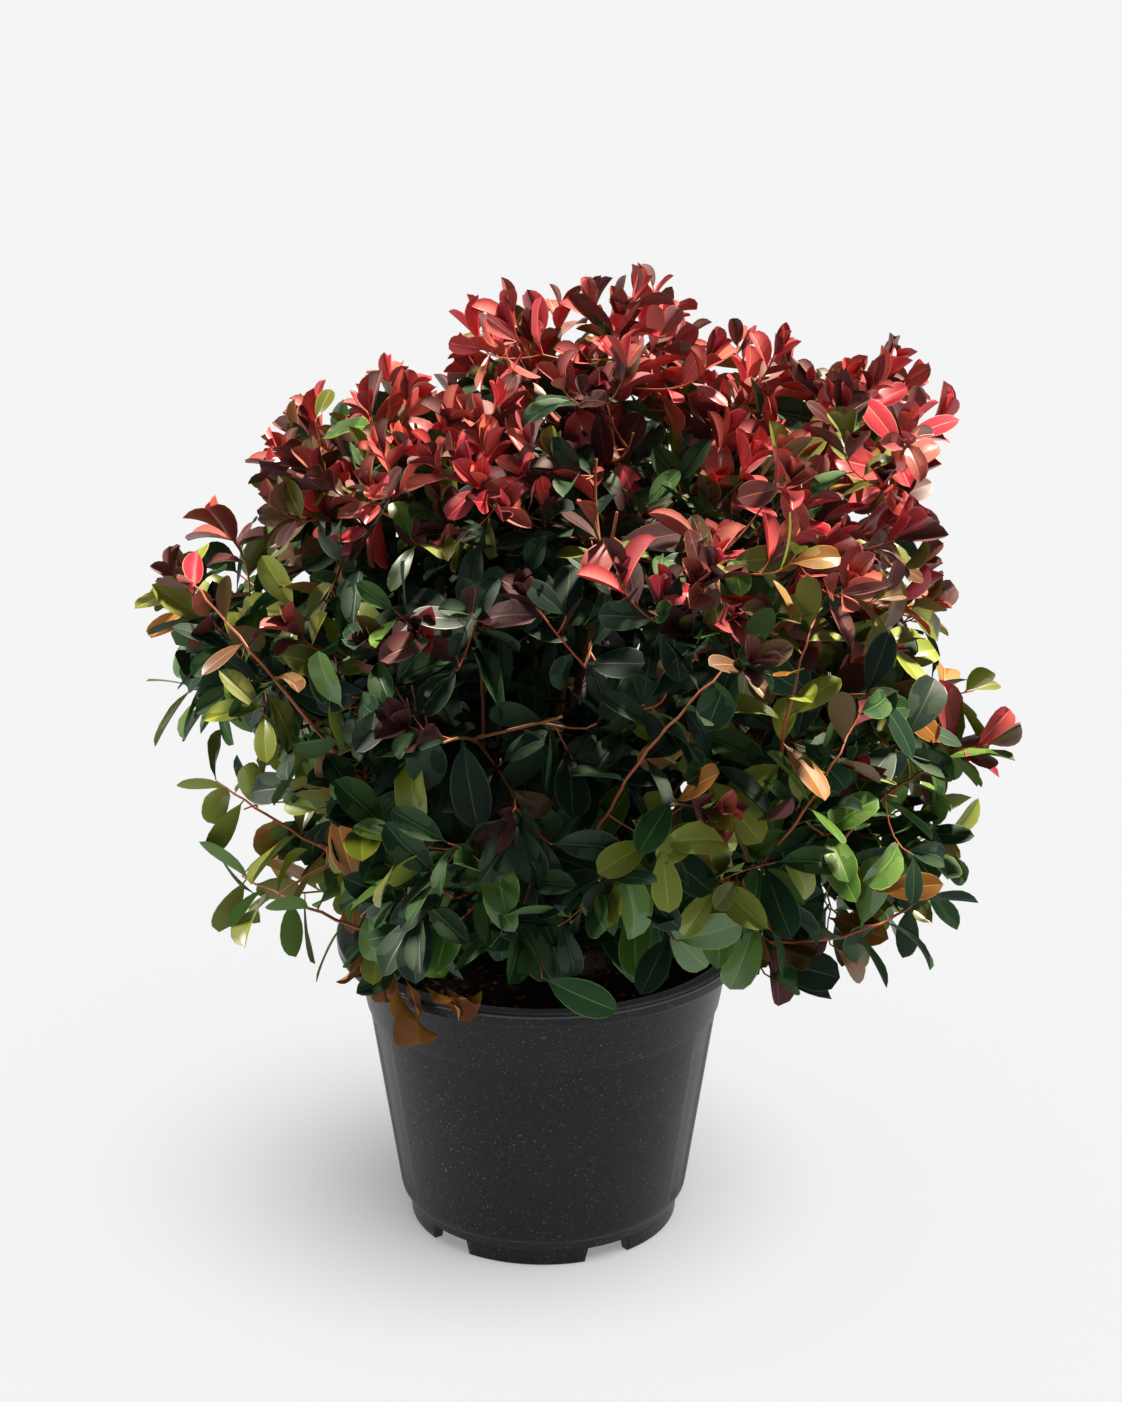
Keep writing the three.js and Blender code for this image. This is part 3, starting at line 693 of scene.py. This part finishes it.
def trunk_block():
    foot = SOIL_HEIGHT - 2
    sides = 48
    levels = np.linspace(0, 1, 30)
    shares = [0, 0.16, 0.45, 0.86, 0.97, 1]
    radii = [TRUNK_FLARE, TRUNK_WAIST + 3, TRUNK_WAIST, TRUNK_TOP, TRUNK_TOP - 3, TRUNK_TOP - 9]
    line = np.outer(levels, [0, 0, TRUNK_TIP - foot]) + [0, 0, foot]
    points, widths = closed(line, np.interp(levels, shares, radii))
    skin, quads, slots = tube(points, widths, sides)
    turn = np.arctan2(skin[:, 1], skin[:, 0])
    level = (skin[:, 2] - foot) / (TRUNK_TIP - foot)
    lobes = 1 + 0.1 * np.cos(5 * turn + 1) * (1 - level) ** 2 + 0.03 * np.cos(3 * turn)
    skin[:, :2] *= lobes[:, None]
    return roughened(skin, np.repeat(points, sides, axis=0), 1.1, 4.0), quads, slots


def make_branches():
    blocks = []
    for name, (points, directions, length) in limbs.items():
        base = 3.6 if name.startswith("low") else 4.6
        count = max(30, round(length / 3))
        share = np.linspace(0, 1, count)
        line = along_line(points, np.arange(len(points)), share * (len(points) - 1))
        radii = mix(base, 2.8, share) + 1.6 * np.exp(-share * length / 9)
        blocks.append(bark_tube(line, radii, 12, 0.75))
    blocks.append(trunk_block())
    mesh = joined_mesh("branches", blocks)
    solids = ["trunk", *[f"limb_{name}" for name in limbs]]
    return place("trunk_and_limbs", mesh, [bark], "bark", solids)


branches = make_branches()
print("limbs:", len(limbs), "faces:", len(branches.data.polygons))

# %% [markdown]
# ## Twigs and shoots
#
# Each mass starts with one stem at its limb's tip. Tips are spread evenly over
# the crown's outline and inside it. Each is joined to the twig from which it
# costs least to get there, counting distance, turning and run. The first tips
# give main twigs, the later ones fine shoots. The sprays that stand out and the
# stems that show are listed, and no fine shoot ends in a hollow.


# %% Grow the twigs
# Steps that spread the tips evenly over all azimuths and heights
TURN_STEP = 0.7548776662
RISE_STEP = 0.569840291
# Radii at the start of a mass's stem, a twig, a shoot and a stem that shows
MASS_STEM_RADIUS = 2.4
TWIG_RADIUS = 1.8
SHOOT_RADIUS = 1.1
SHOWN_RADIUS = 1.6
# A branch's radius as a share of the one that carries it
FORK_SHARE = 0.85
MASS_INDEX = 1000


def is_leader(i):
    """Whether a shoot is one of the sprays that stand out."""
    return 0 <= i - TWIG_COUNT < len(LEADERS)


def tip_point(i, margin):
    """A tip's direction from the crown's centre, its place and whether it is inside."""
    azimuth = 360 * ((0.5 + i * TURN_STEP) % 1)
    sine = mix(LOWEST_SINE, HIGHEST_SINE, (0.5 + i * RISE_STEP) % 1)
    direction = heading(azimuth, math.degrees(math.asin(sine)))
    inner = i % 4 < 1 if i < TWIG_COUNT else i % 5 < 2
    depth = mix(0.5, 0.8, chance(i, 1)) if inner else mix(0.84, 1, chance(i, 1) ** 0.7)
    high = max(0, sine)
    if not inner and i >= TWIG_COUNT and chance(i, 2) < 0.12 + 0.12 * high:
        depth = mix(1.03, 1.09 + 0.04 * high, chance(i, 4))
    reach = crown_reach(direction, LEAF_OUTLINE)
    return direction, CROWN_CENTRE + direction * (reach * depth - margin), inner


class Growth:
    """The twigs of one mass. Its joints are rows of point, direction, radius and run."""

    def __init__(self):
        self.joints = np.zeros((0, 8))
        self.twigs = []

    def add(self, index, start, bend, end, run, radius, inner, fine):
        length = np.linalg.norm(end - start)
        count = max(3, round(length / (9 if fine else 14)))
        points, directions, length = curve_along(start, bend, end, count)
        shares = np.linspace(0, 1, count + 1)
        radii = mix(radius, 0.65 if fine else 0.9, shares)
        rows = np.column_stack([points, directions, radii, run + shares * length])
        self.joints = np.concatenate([self.joints, rows[1:-1]])
        twig = dict(index=index, points=points, directions=directions, radii=radii)
        self.twigs.append(dict(twig, length=length, inner=inner, fine=fine))

    def root_for(self, target, shortest):
        """The joint that a twig grows from at least cost, or None."""
        reach = target - self.joints[:, :3]
        gap = np.linalg.norm(reach, axis=1)
        turn = 1 - np.einsum("kj,kj->k", reach, self.joints[:, 3:6]) / np.maximum(gap, 1e-6)
        cost = gap * (1 + TURN_COST * turn) + self.joints[:, 7] * RUN_COST
        cost[gap < shortest] = np.inf
        best = int(np.argmin(cost))
        return None if math.isinf(cost[best]) else self.joints[best]


def clear_of_pot(points):
    """Roughly how far points are from the pot and its compost."""
    x, y, z = np.moveaxis(points, -1, 0)
    radius = np.hypot(x, y)
    inside = POT_RADIUS - LIP_WIDTH - radius
    beside = np.maximum(z - POT_HEIGHT, radius - POT_RADIUS)
    return np.where((inside > 0) & (z < POT_HEIGHT), np.minimum(inside, z - SOIL_HEIGHT), beside)


def above_skirt(point):
    """How far a point is above the crown's lower edge."""
    x, y, z = point
    middle = RIM_VIEW_RISE * math.exp(-(((x - RIM_VIEW_CENTRE) / RIM_VIEW_WIDTH) ** 2))
    return z - SKIRT_HEIGHT - (SKIRT_RISE + middle) * min(1, abs(y) / POT_RADIUS)


def in_hollow(point, grow=1.0):
    """Whether a point lies in one of the crown's hollows."""
    return any(
        sum(((p - c) / (size * grow)) ** 2 for p, c, size in zip(point, centre, sizes)) < 1
        for centre, sizes in HOLLOWS
    )


def nearest(places, point):
    """The number of the place that is nearest to a point."""
    return int(np.argmin(np.linalg.norm(places - point, axis=1)))


UP = np.array([0.0, 0.0, 1.0])
growths = []
for number, mass in enumerate(masses):
    points, directions, _ = limbs[mass["name"]]
    start, leave = points[-1], directions[-1]
    end = CROWN_CENTRE + mass["outward"] * (mass["reach"] - TWIG_MARGIN)
    bend = start + leave * 0.5 * np.linalg.norm(end - start)
    growth = Growth()
    growth.add(MASS_INDEX + number, start, bend, end, 0, MASS_STEM_RADIUS, False, False)
    growths.append(growth)

for i in range(TWIG_COUNT + SHOOT_COUNT):
    fine = i >= TWIG_COUNT
    direction, tip, inner = tip_point(i, SHOOT_MARGIN if fine else TWIG_MARGIN)
    if is_leader(i):
        angle, reach, depth = LEADERS[i - TWIG_COUNT]
        turn = math.radians(angle)
        direction = unit(np.array([math.cos(turn), depth, math.sin(turn)]))
        tip, inner = CROWN_CENTRE + direction * (reach - LEADER_MARGIN), False
    number = nearest(CENTRES, tip)
    growth = growths[number]
    root = growth.root_for(tip, SHORTEST_SHOOT if fine else SHORTEST_TWIG)
    if root is None or inside_space(number, tip) < 1:
        continue
    if fine and chance(i, 14) < THINNING * min(1, max(0, 0.2 - direction[2])):
        continue
    start, radius, run = root[:3], root[6], root[7]
    rise = SHOOT_RISE * mix(0.3, 1, min(1, max(0, direction[2] * 1.6 + 0.6))) if fine else TWIG_RISE
    sway = np.array([chance(i, j) for j in (11, 12, 13)]) - 0.5
    end_direction = unit(direction + UP * rise + sway * (0.7 if fine else 0.2))
    bend = tip - end_direction * 0.45 * np.linalg.norm(tip - start)
    if clear_of_pot(np.stack([tip, bend])).min() < 3 or above_skirt(tip) < 0 or (fine and in_hollow(tip)):
        continue
    radius = min(SHOOT_RADIUS if fine else TWIG_RADIUS, radius * FORK_SHARE)
    growth.add(i, start, bend, tip, run, radius, inner, fine)

# The stems that show grow from the nearest joint, whichever mass it is in
joints = np.concatenate([growth.joints[:, :3] for growth in growths])
shown = []
for k, stem in enumerate(SHOWN_STEMS):
    start, middle, tip = np.array(stem, dtype=float)
    start = joints[nearest(joints, start)]
    growth = growths[nearest(CENTRES, tip)]
    bend = 2 * middle - (start + tip) / 2
    growth.add(STEM_INDEX + k, start, bend, tip, 0, SHOWN_RADIUS, False, True)
    points = growth.twigs[-1]["points"]
    for n in range(1, len(points) - 1):
        points[n] += STEM_KINK * (np.array([chance(n, k + j) for j in (0, 20, 40)]) - 0.5)
    shown.append(points[len(points) // 3 : -len(points) // 3])
SHOWN_POINTS = np.concatenate(shown)

twigs = [twig for growth in growths for twig in growth.twigs]
print("twigs:", len(twigs), "of them fine:", sum(twig["fine"] for twig in twigs))


# %% The twigs' mesh
def make_twigs():
    blocks = []
    for twig in twigs:
        slot = 1 if twig["fine"] else 0
        blocks.append(tube(*closed(twig["points"], twig["radii"]), 5, slot))
    mesh = joined_mesh("twigs", blocks)
    return place("twigs_and_shoots", mesh, [old_twig, young_twig], "bark", FOLIAGE)


twig_piece = make_twigs()
print("twig faces:", len(twig_piece.data.polygons))

# %% [markdown]
# ## Leaf shapes
#
# A leaf is two thin grids, one for each side, drawn in towards its ends. The
# upper one has a narrow paler strip for the midrib. Young leaves are folded and
# upright, grown ones bend back, and dry ones are curled and have finer grids.


# %% Leaf templates
LEVELS = [0, 0.09, 0.23, 0.38, 0.54, 0.69, 0.82, 0.92, 1]
ACROSS = [-1, -0.94, -0.5, -0.04, 0.04, 0.5, 0.94, 1]
UNDER = [-1, 0, 1]
FOLD_SOFTNESS = 1.4


def half_width(t, broadest):
    """The blade's half width along it, 1 where it is broadest."""
    p = 1.15
    q = p * (1 - broadest) / broadest
    peak = broadest**p * (1 - broadest) ** q
    blade = np.clip((t - 0.07) / 0.93, 0, 1)
    return np.maximum(0.05, (blade**p * (1 - blade) ** q / peak) ** 0.76) * (1 - (t > 0.999))


def leaf_template(width, fold, arch, broadest, cup, wave, twist, crumpled=False):
    """Points and quads of a leaf one unit long, along +Y, its upper side to +Z."""
    levels = np.linspace(0, 1, 23) if crumpled else LEVELS
    upper, under = (np.linspace(-1, 1, 14),) * 2 if crumpled else (ACROSS, UNDER)
    depth = 0.02 if crumpled else 0.007
    # The midrib's curve, followed in fine steps
    steps = np.linspace(0, 1, 101)
    slope = np.radians(arch) * steps**1.3
    rib_y, rib_z = np.cumsum(np.cos(slope)) / 101, -np.cumsum(np.sin(slope)) / 101
    blocks = []
    for across, lift in ((upper, 0.0), (under, -depth)):
        bm = bmesh.new()
        columns = len(across) - 1
        rows = len(levels) - 1
        bmesh.ops.create_grid(bm, x_segments=columns, y_segments=rows, size=0.5)
        if lift:
            bmesh.ops.reverse_faces(bm, faces=bm.faces)
        flat = np.array([vert.co[:2] for vert in bm.verts]) + 0.5
        quads = np.array([[vert.index for vert in face.verts] for face in bm.faces])
        bm.free()
        u = np.interp(flat[:, 0] * columns, range(columns + 1), across)
        t = np.interp(flat[:, 1] * rows, range(rows + 1), levels)
        half = half_width(t, broadest) * width / 2
        x, edge = u * half, np.abs(u)
        z = half * edge**FOLD_SOFTNESS * math.tan(math.radians(fold))
        z -= cup * x**2 / width
        z += wave * np.sin(t * 9 + u) * edge * half
        z = z - np.where(edge < 0.1, 0.006, 0) * (t < 0.95) + lift * (1 - edge)
        turn = math.radians(arch) * t**1.3
        y = np.interp(t, steps, rib_y) + z * np.sin(turn)
        height = np.interp(t, steps, rib_z) + z * np.cos(turn)
        cos, sin = np.cos(np.radians(twist) * t), np.sin(np.radians(twist) * t)
        points = np.stack([x * cos - height * sin, y, x * sin + height * cos], -1)
        strip = np.abs(u[quads].mean(1))
        pale = (strip < 0.02) | (strip > 0.96)
        slot = np.full(len(quads), 1) if lift else np.where(pale, 2, 0)
        blocks.append((points, quads, slot))
    return joined(blocks)


# Width, fold, arch, where it is broadest, cup, wave and twist
YOUNG_SHAPES = [
    (0.46, 42, 6, 0.58, 0, 0, 0),
    (0.5, 32, 22, 0.6, 0, 0.05, 0),
    (0.42, 48, -10, 0.55, 0, 0, 0),
    (0.48, 36, 36, 0.58, 0, 0, 18),
]
GROWN_SHAPES = [
    (0.45, 14, 26, 0.57, 0.5, 0, 0),
    (0.49, 10, 42, 0.61, 0, 0.12, 0),
    (0.42, 24, 12, 0.55, 0, 0.06, 0),
    (0.47, 12, 20, 0.62, 0.3, 0, -16),
    (0.44, 20, 52, 0.58, 0, 0.1, 14),
]
DRY_SHAPES = [
    (0.26, 34, 25, 0.5, -0.9, 0.9, 90),
    (0.34, 40, 60, 0.54, -1, 1.1, -70),
]
TEMPLATES = [leaf_template(*shape) for shape in YOUNG_SHAPES + GROWN_SHAPES]
TEMPLATES += [leaf_template(*shape, crumpled=True) for shape in DRY_SHAPES]
print("leaf shapes:", len(TEMPLATES), "faces each:", len(TEMPLATES[0][1]))

# %% [markdown]
# ## Leaf colours
#
# Young leaves at the top are crimson, and turn through bronze to green with age.
# A leaf's family of colours comes from its place in the crown and its age. In
# the middle of the front and next to the hollows, where little light comes in, a
# darker family is painted in as shade.

# %% Leaf colour families
# Upper side, underside, midrib, slot and the darker family painted in for it as shade
FAMILIES = {
    "crimson": ("#cc3244", "#c04a4c", "#e69080", "red", "maroon"),
    "coral": ("#ce564c", "#c26856", "#e6a084", "red", "wine"),
    "brick": ("#a84a44", "#a2564a", "#cc886c", "red", "maroon"),
    "wine": ("#9e2a38", "#9a4848", "#c66e60", "red", "shaded_plum"),
    "maroon": ("#522628", "#663a38", "#945648", "red", "shaded_plum"),
    # This dark family is only painted in as shade, for wine, maroon and bronze leaves in the dark
    "shaded_plum": ("#381619", "#482a28", "#6e3e36", "red", "shaded_plum"),
    # A mauve-grey painted as the pale sheen of the sky on glossy red leaves
    "sheen_mauve": ("#82605e", "#7c5450", "#a8786c", "red", "maroon"),
    "bronze": ("#64442c", "#725a38", "#a67444", "bronze", "shaded_plum"),
    "rust": ("#8e5a1e", "#8e7030", "#c49040", "bronze", "bronze"),
    "dry": ("#7c4c28", "#a8742e", "#b88a50", "bronze", "dry"),
    "olive": ("#646a26", "#727834", "#a0a044", "bronze", "deep"),
    "lime": ("#84922a", "#88943e", "#b0b450", "green", "leaf"),
    "fresh": ("#467026", "#5c7c34", "#869a40", "green", "deep"),
    "leaf": ("#224a20", "#405e2e", "#5c7e38", "green", "deep"),
    "deep": ("#14341d", "#324c2c", "#426438", "green", "shade"),
    "shade": ("#0f281c", "#2a422c", "#385434", "green", "shade"),
}
# Families whose upper side is duller than the others'
DULL = ("shaded_plum", "leaf", "deep", "shade", "dry")
family_materials = {}
for name, (upper, under, rib, _, _) in FAMILIES.items():
    gloss = (0.58, 0.28) if name in DULL else (0.33, 0.85)
    family_materials[name] = [
        plain(f"{name} upper", upper, *gloss),
        plain(f"{name} under", under, 0.6, 0.3),
        plain(f"{name} rib", rib, 0.45, 0.4),
    ]

# Mixtures of families, each with the number up to which it is picked
WARM_MIXTURES = {
    0.5: ((0.38, "crimson"), (0.55, "coral"), (0.78, "brick"), (1, "wine")),
    0.22: ((0.3, "wine"), (0.5, "brick"), (0.62, "crimson"), (1, "maroon")),
    0.0: ((0.45, "maroon"), (0.8, "bronze"), (1, "olive")),
    -0.2: ((0.3, "bronze"), (0.5, "olive"), (0.8, "leaf"), (1, "deep")),
}
# Muted high leaves: mauve-grey ones that are painted sheen, and maroon ones
MAROON_AND_SHEEN = ((0.45, "sheen_mauve"), (1, "maroon"))
TURNING = ((0.26, "rust"), (0.55, "olive"), (1, "lime"))
FRESH = ((0.3, "lime"), (0.8, "fresh"), (1, "olive"))
GREENS = ((0.08, "fresh"), (0.4, "leaf"), (0.74, "deep"), (1, "shade"))
# The height at which leaves turn from green to red, and over how much height
TURN_HEIGHT = 488
TURN_SPAN = 190
CROWN_HALF_WIDTH = 300
# The left side is greener below this height, and less so within a span under it
GREEN_HEIGHT = 565
GREEN_SPAN = 70
# The middle of the front, where shade is painted with darker families: its place and half sizes across and
# up
PAINTED_SHADE_PLACE = (5, 478)
PAINTED_SHADE_SIZE = (130, 128)


def painted_shade(place):
    """How far a place is inside the painted shade of the front's middle, 1 at its heart."""
    if place[1] > 0:
        return 0
    across = (place[0] - PAINTED_SHADE_PLACE[0]) / PAINTED_SHADE_SIZE[0]
    up = (place[2] - PAINTED_SHADE_PLACE[1]) / PAINTED_SHADE_SIZE[1]
    return 1 - across**2 - up**2


def crown_side(place):
    """How far right of the crown's centre a place is, about 1 at its edge."""
    return (place[0] - CROWN_CENTRE[0]) / CROWN_HALF_WIDTH


def warmth(place, age, twig):
    """How red a leaf is, from its place, its age and its twig."""
    i, height, left = twig["index"], place[2], -crown_side(place)
    warm = (height - TURN_HEIGHT) / TURN_SPAN + 1.5 * (chance(i, 5) - 0.5) - 0.6 * age
    if is_leader(i):
        warm += 0.5 if height > CROWN_CENTRE[2] else 0.2
    elif i == STEM_INDEX:
        warm += 0.25
    else:
        green = min(1, max(0, (GREEN_HEIGHT - height) / GREEN_SPAN))
        warm -= 1.1 * max(0, left - 0.15) * green
    if twig["inner"]:
        warm -= 0.7
    if chance(i, 6) < 0.14:
        warm += 0.7
    return warm


def picked(pick, mixture):
    """The family of a mixture that a number from 0 to 1 falls to."""
    return next(family for bound, family in mixture if pick < bound)


def family_of(place, age, twig, k):
    """The colour family of a twig's leaf k."""
    i, warm, side = twig["index"], warmth(place, age, twig), crown_side(place)
    pick = chance(i * 3.1 + k, 8)
    if warm > 0.5 and chance(i, k + 130) < 0.2:
        return picked(chance(i, k + 131), MAROON_AND_SHEEN)
    for least, mixture in WARM_MIXTURES.items():
        if warm > least:
            return picked(pick, mixture)
    # Toward the sides more leaves are rust, olive and lime; the extra share on the right, where the key sun
    # falls, is partly painted light
    if chance(i, 9) < 0.2 * abs(side) + 0.3 * max(0, side):
        return picked(pick, TURNING)
    if chance(i, 10) < 0.1 + 0.4 * abs(side) and not twig["inner"]:
        return picked(pick, FRESH)
    return picked(pick, GREENS)


print("leaf materials:", 3 * len(FAMILIES))

# %% [markdown]
# ## Leaves on their shoots
#
# Each next leaf on a shoot is turned by the golden angle. At the tip they are
# small, young and upright, and further back they are grown and hang a little. A
# leaf that would leave the outline, touch the pot, fill a hollow or hide a shown
# stem is skipped.


# %% Place the leaves
# A leaf's length and how far it stands off its shoot, when young and when grown
YOUNG_LENGTH = 27
GROWN_LENGTH = 55
YOUNG_TILT = 13
GROWN_TILT = 72
YOUNG_AGE = 0.3
# How far back from a shoot's tip its leaves have aged in full
AGING_RUN = 62
# Leaves low in the crown are larger than those high up
LOW_SCALE = 1.08
HIGH_SCALE = 0.77
SCALE_HEIGHT = 220
SCALE_SPAN = 460
SHOWN_STEM_SCALE = 0.88
# How far back from the tip the leaves stand, on young, grown and shown stems
YOUNG_RUNS = [0, 2, 5, 8, 12, 17, 23, 31, 41, 53]
GROWN_RUNS = [0, 7, 15, 25, 36, 49, 63]
STEM_RUNS = [0, 6, 12, 20, 30, 43, 58, 76, 80, 100, 104, 126, 130]
# Across, up and away, as one sees the shrub from the front and a little above
VIEW_SINE = math.sin(math.radians(VIEW_DOWN))
VIEW_COSINE = math.cos(math.radians(VIEW_DOWN))
VIEW_AXES = np.array([[1, 0, 0], [0, VIEW_SINE, VIEW_COSINE], [0, VIEW_COSINE, -VIEW_SINE]])


def hides_stem(points):
    """Whether points stand before a stem that shows, as one sees the shrub."""
    gap = (points[:, None] - SHOWN_POINTS[None]) @ VIEW_AXES.T
    return bool(np.any((np.abs(gap[..., :2]).max(-1) < STEM_CLEARANCE) & (gap[..., 2] < 0)))


def leaf_on(twig, k, run, start_age):
    """A leaf's family, template, base, frame and length, or None if it doesn't fit."""
    i, points = twig["index"], twig["points"]
    row = (1 - run / twig["length"]) * (len(points) - 1)
    base = along_line(points, np.arange(len(points)), row)
    along = twig["directions"][round(row)]
    age = min(1.0, start_age + run / AGING_RUN)
    tilt = math.radians(mix(YOUNG_TILT, GROWN_TILT, age**0.75) + 20 * (chance(i, k + 20) - 0.5))
    start = unit(np.cross(along, [0.17, 0.31, 0.94]))
    turn = math.radians(GOLDEN_ANGLE) * k + 6.28 * chance(i, 3)
    across = start * math.cos(turn) + np.cross(along, start) * math.sin(turn)
    out = along * math.cos(tilt) + across * math.sin(tilt)
    out = unit(out - UP * age * mix(-0.15, 0.55, chance(i, k + 100)))
    upper = along * mix(1, 0.4, age) + UP * mix(0.1, 0.75, age)
    upper = upper + np.cross(out, upper) * 1.1 * (chance(i, k + 40) - 0.5)
    side = unit(np.cross(out, upper))
    normal = np.cross(side, out)
    scale = mix(LOW_SCALE, HIGH_SCALE, min(1, max(0, (base[2] - SCALE_HEIGHT) / SCALE_SPAN)))
    if i >= STEM_INDEX:
        scale *= SHOWN_STEM_SCALE
    length = mix(YOUNG_LENGTH + min(k, 4) * 2, GROWN_LENGTH, age) * scale * mix(0.75, 1.2, chance(i, k + 60))
    tip = base + out * length
    reach = tip - CROWN_CENTRE
    distance = np.linalg.norm(reach)
    beyond = distance - crown_reach(reach / distance, LEAF_OUTLINE)
    leads = is_leader(i) or i >= STEM_INDEX
    room = LEADER_OVERHANG if leads else LEAF_OVERHANG
    hang = 6 + 20 * chance(i, 7)
    if beyond > room or above_skirt(tip) < -hang or np.any(np.abs(reach) > LEAF_BOX):
        return None
    spots = base + np.outer([0, 0.3, 0.6, 1], out * length)
    if clear_of_pot(spots).min() < 1.5 or (i < STEM_INDEX and hides_stem(spots)):
        return None
    if not leads and (in_hollow(base) or in_hollow(tip)):
        return None
    family = family_of(base, age, twig, k)
    # Leaves in the front's middle and next to the hollows take the darker family as painted shade, and at
    # the middle's heart they can turn darker twice
    dark = painted_shade(base)
    if dark > 0.8 * chance(i, k + 150) or in_hollow(base, 1.2):
        family = FAMILIES[family][4]
    if dark > 0.3 + 0.9 * chance(i, k + 160):
        family = FAMILIES[family][4]
    pick = chance(i, k + 80)
    number = len(YOUNG_SHAPES) + int(pick * len(GROWN_SHAPES))
    if age < YOUNG_AGE:
        number = int(pick * len(YOUNG_SHAPES))
    return family, number, base, np.stack([side, out, normal]), length


leaves = []
for twig in twigs:
    warm = warmth(twig["points"][-1], 0, twig)
    start_age = min(0.6, max(0, 0.35 - warm * 0.8))
    runs = YOUNG_RUNS if warm > 0.1 else GROWN_RUNS
    for k, run in enumerate(STEM_RUNS if twig["index"] >= STEM_INDEX else runs):
        if run > twig["length"] * 0.93:
            break
        leaf = leaf_on(twig, k, run, start_age)
        if leaf:
            leaves.append(leaf)

# Dry leaves that hang curled over the rim at the front left: base, way, length
DRY_LEAVES = [
    ((-102, -122, 242), (0.16, -0.35, -1), 56),
    ((-94, -128, 240), (0.45, -0.4, -0.9), 30),
    ((-80, -137, 238), (0.8, -0.4, -0.35), 42),
    ((-66, -140, 240), (0.5, -0.6, -0.6), 26),
    ((-112, -112, 246), (-0.1, -0.4, -0.9), 30),
    ((-120, -104, 250), (-0.5, -0.5, -0.5), 32),
]
for k, (base, way, length) in enumerate(DRY_LEAVES):
    out = unit(np.array(way))
    side = unit(np.cross(out, [base[0] * 0.6, base[1], 30.0]))
    basis = np.stack([side, out, np.cross(side, out)])
    leaves.append(("dry", len(TEMPLATES) - 1 - k % 2, np.array(base), basis, length))


def make_leaves(family):
    chosen = [leaf for leaf in leaves if leaf[0] == family]
    blocks = []
    for _, number, base, basis, length in sorted(chosen, key=lambda leaf: leaf[1]):
        points, quads, slots = TEMPLATES[number]
        blocks.append((points @ (basis * length) + base, quads, slots))
    mesh = joined_mesh(f"{family} leaves", blocks)
    slot = FAMILIES[family][3] + "_leaves"
    return place(f"leaves_{family}", mesh, family_materials[family], slot, FOLIAGE)


for name in FAMILIES:
    piece = make_leaves(name)
    print(piece.name, len(piece.data.polygons))
print("leaves:", len(leaves))

# %% [markdown]
# ## Stage, light and camera
#
# A pale floor, a strong sun from behind on the right and a weaker one from behind
# on the left. The floor and the pot each have a soft sun of their own. The camera
# stands 2.3 m in front of the pot.


# %% Floor, lamps and world
FLOOR_SIZE = 60000


def add_floor():
    bm = bmesh.new()
    bmesh.ops.create_grid(bm, x_segments=1, y_segments=1, size=FLOOR_SIZE / 2)
    mesh = mesh_from(bm, "floor", smooth=False)
    material, _, shader = new_material("floor", "#cccccc", 0.9, 0.1)
    shader.inputs["Emission Color"].default_value = colour("#fafafa")
    shader.inputs["Emission Strength"].default_value = 0.28
    mesh.materials.append(material)
    floor = bpy.data.objects.new("floor", mesh)
    scene.collection.objects.link(floor)
    return floor


def collection_of(name, piece):
    collection = bpy.data.collections.new(name)
    collection.objects.link(piece)
    return collection


def add_sun(name, direction, energy, angle, tint, piece, state, caster=None):
    """A lamp for one piece alone or for all others. A caster alone throws its shadow."""
    lamp = bpy.data.lights.new(name, "SUN")
    lamp.energy = energy
    lamp.angle = math.radians(angle)
    lamp.color = colour(tint)[:3]
    holder = bpy.data.objects.new(name, lamp)
    holder.rotation_euler = Vector(direction).to_track_quat("-Z", "Y").to_euler()
    scene.collection.objects.link(holder)
    receivers = collection_of(f"{name} receivers", piece)
    holder.light_linking.receiver_collection = receivers
    receivers.collection_objects[0].light_linking.link_state = state
    if caster:
        holder.light_linking.blocker_collection = collection_of(f"{name} blockers", caster)


floor = add_floor()
add_sun("key", (-0.42, -0.35, -0.84), 11.6, 6, "#fff1da", floor, "EXCLUDE")
add_sun("rim", (0.8, -0.22, -0.55), 4.0, 12, "#fff6ea", floor, "EXCLUDE")
add_sun("floor light", (-0.22, 0.2, -1), 3.0, 60, "#ffffff", floor, "INCLUDE", pot)
add_sun("pot light", (-0.42, -0.27, -0.87), 4.2, 50, "#ffffff", pot, "INCLUDE", pot)

world = bpy.data.worlds.new("studio")
world.use_nodes = True
background = world.node_tree.nodes["Background"].inputs
background["Color"].default_value = (0.97, 0.985, 1.0, 1)
background["Strength"].default_value = 0.16
scene.world = world
scene.view_settings.view_transform = "Standard"

# %% Camera
camera_data = bpy.data.cameras.new("camera")
camera_data.sensor_fit = "VERTICAL"
camera_data.sensor_height = 36
camera_data.lens = 89.0
camera_data.clip_end = 100
camera = bpy.data.objects.new("camera", camera_data)
camera.location = (0.013, -2.305, 1.236)
camera.rotation_euler = (math.radians(90 - VIEW_DOWN), 0, 0)
scene.collection.objects.link(camera)
scene.camera = camera
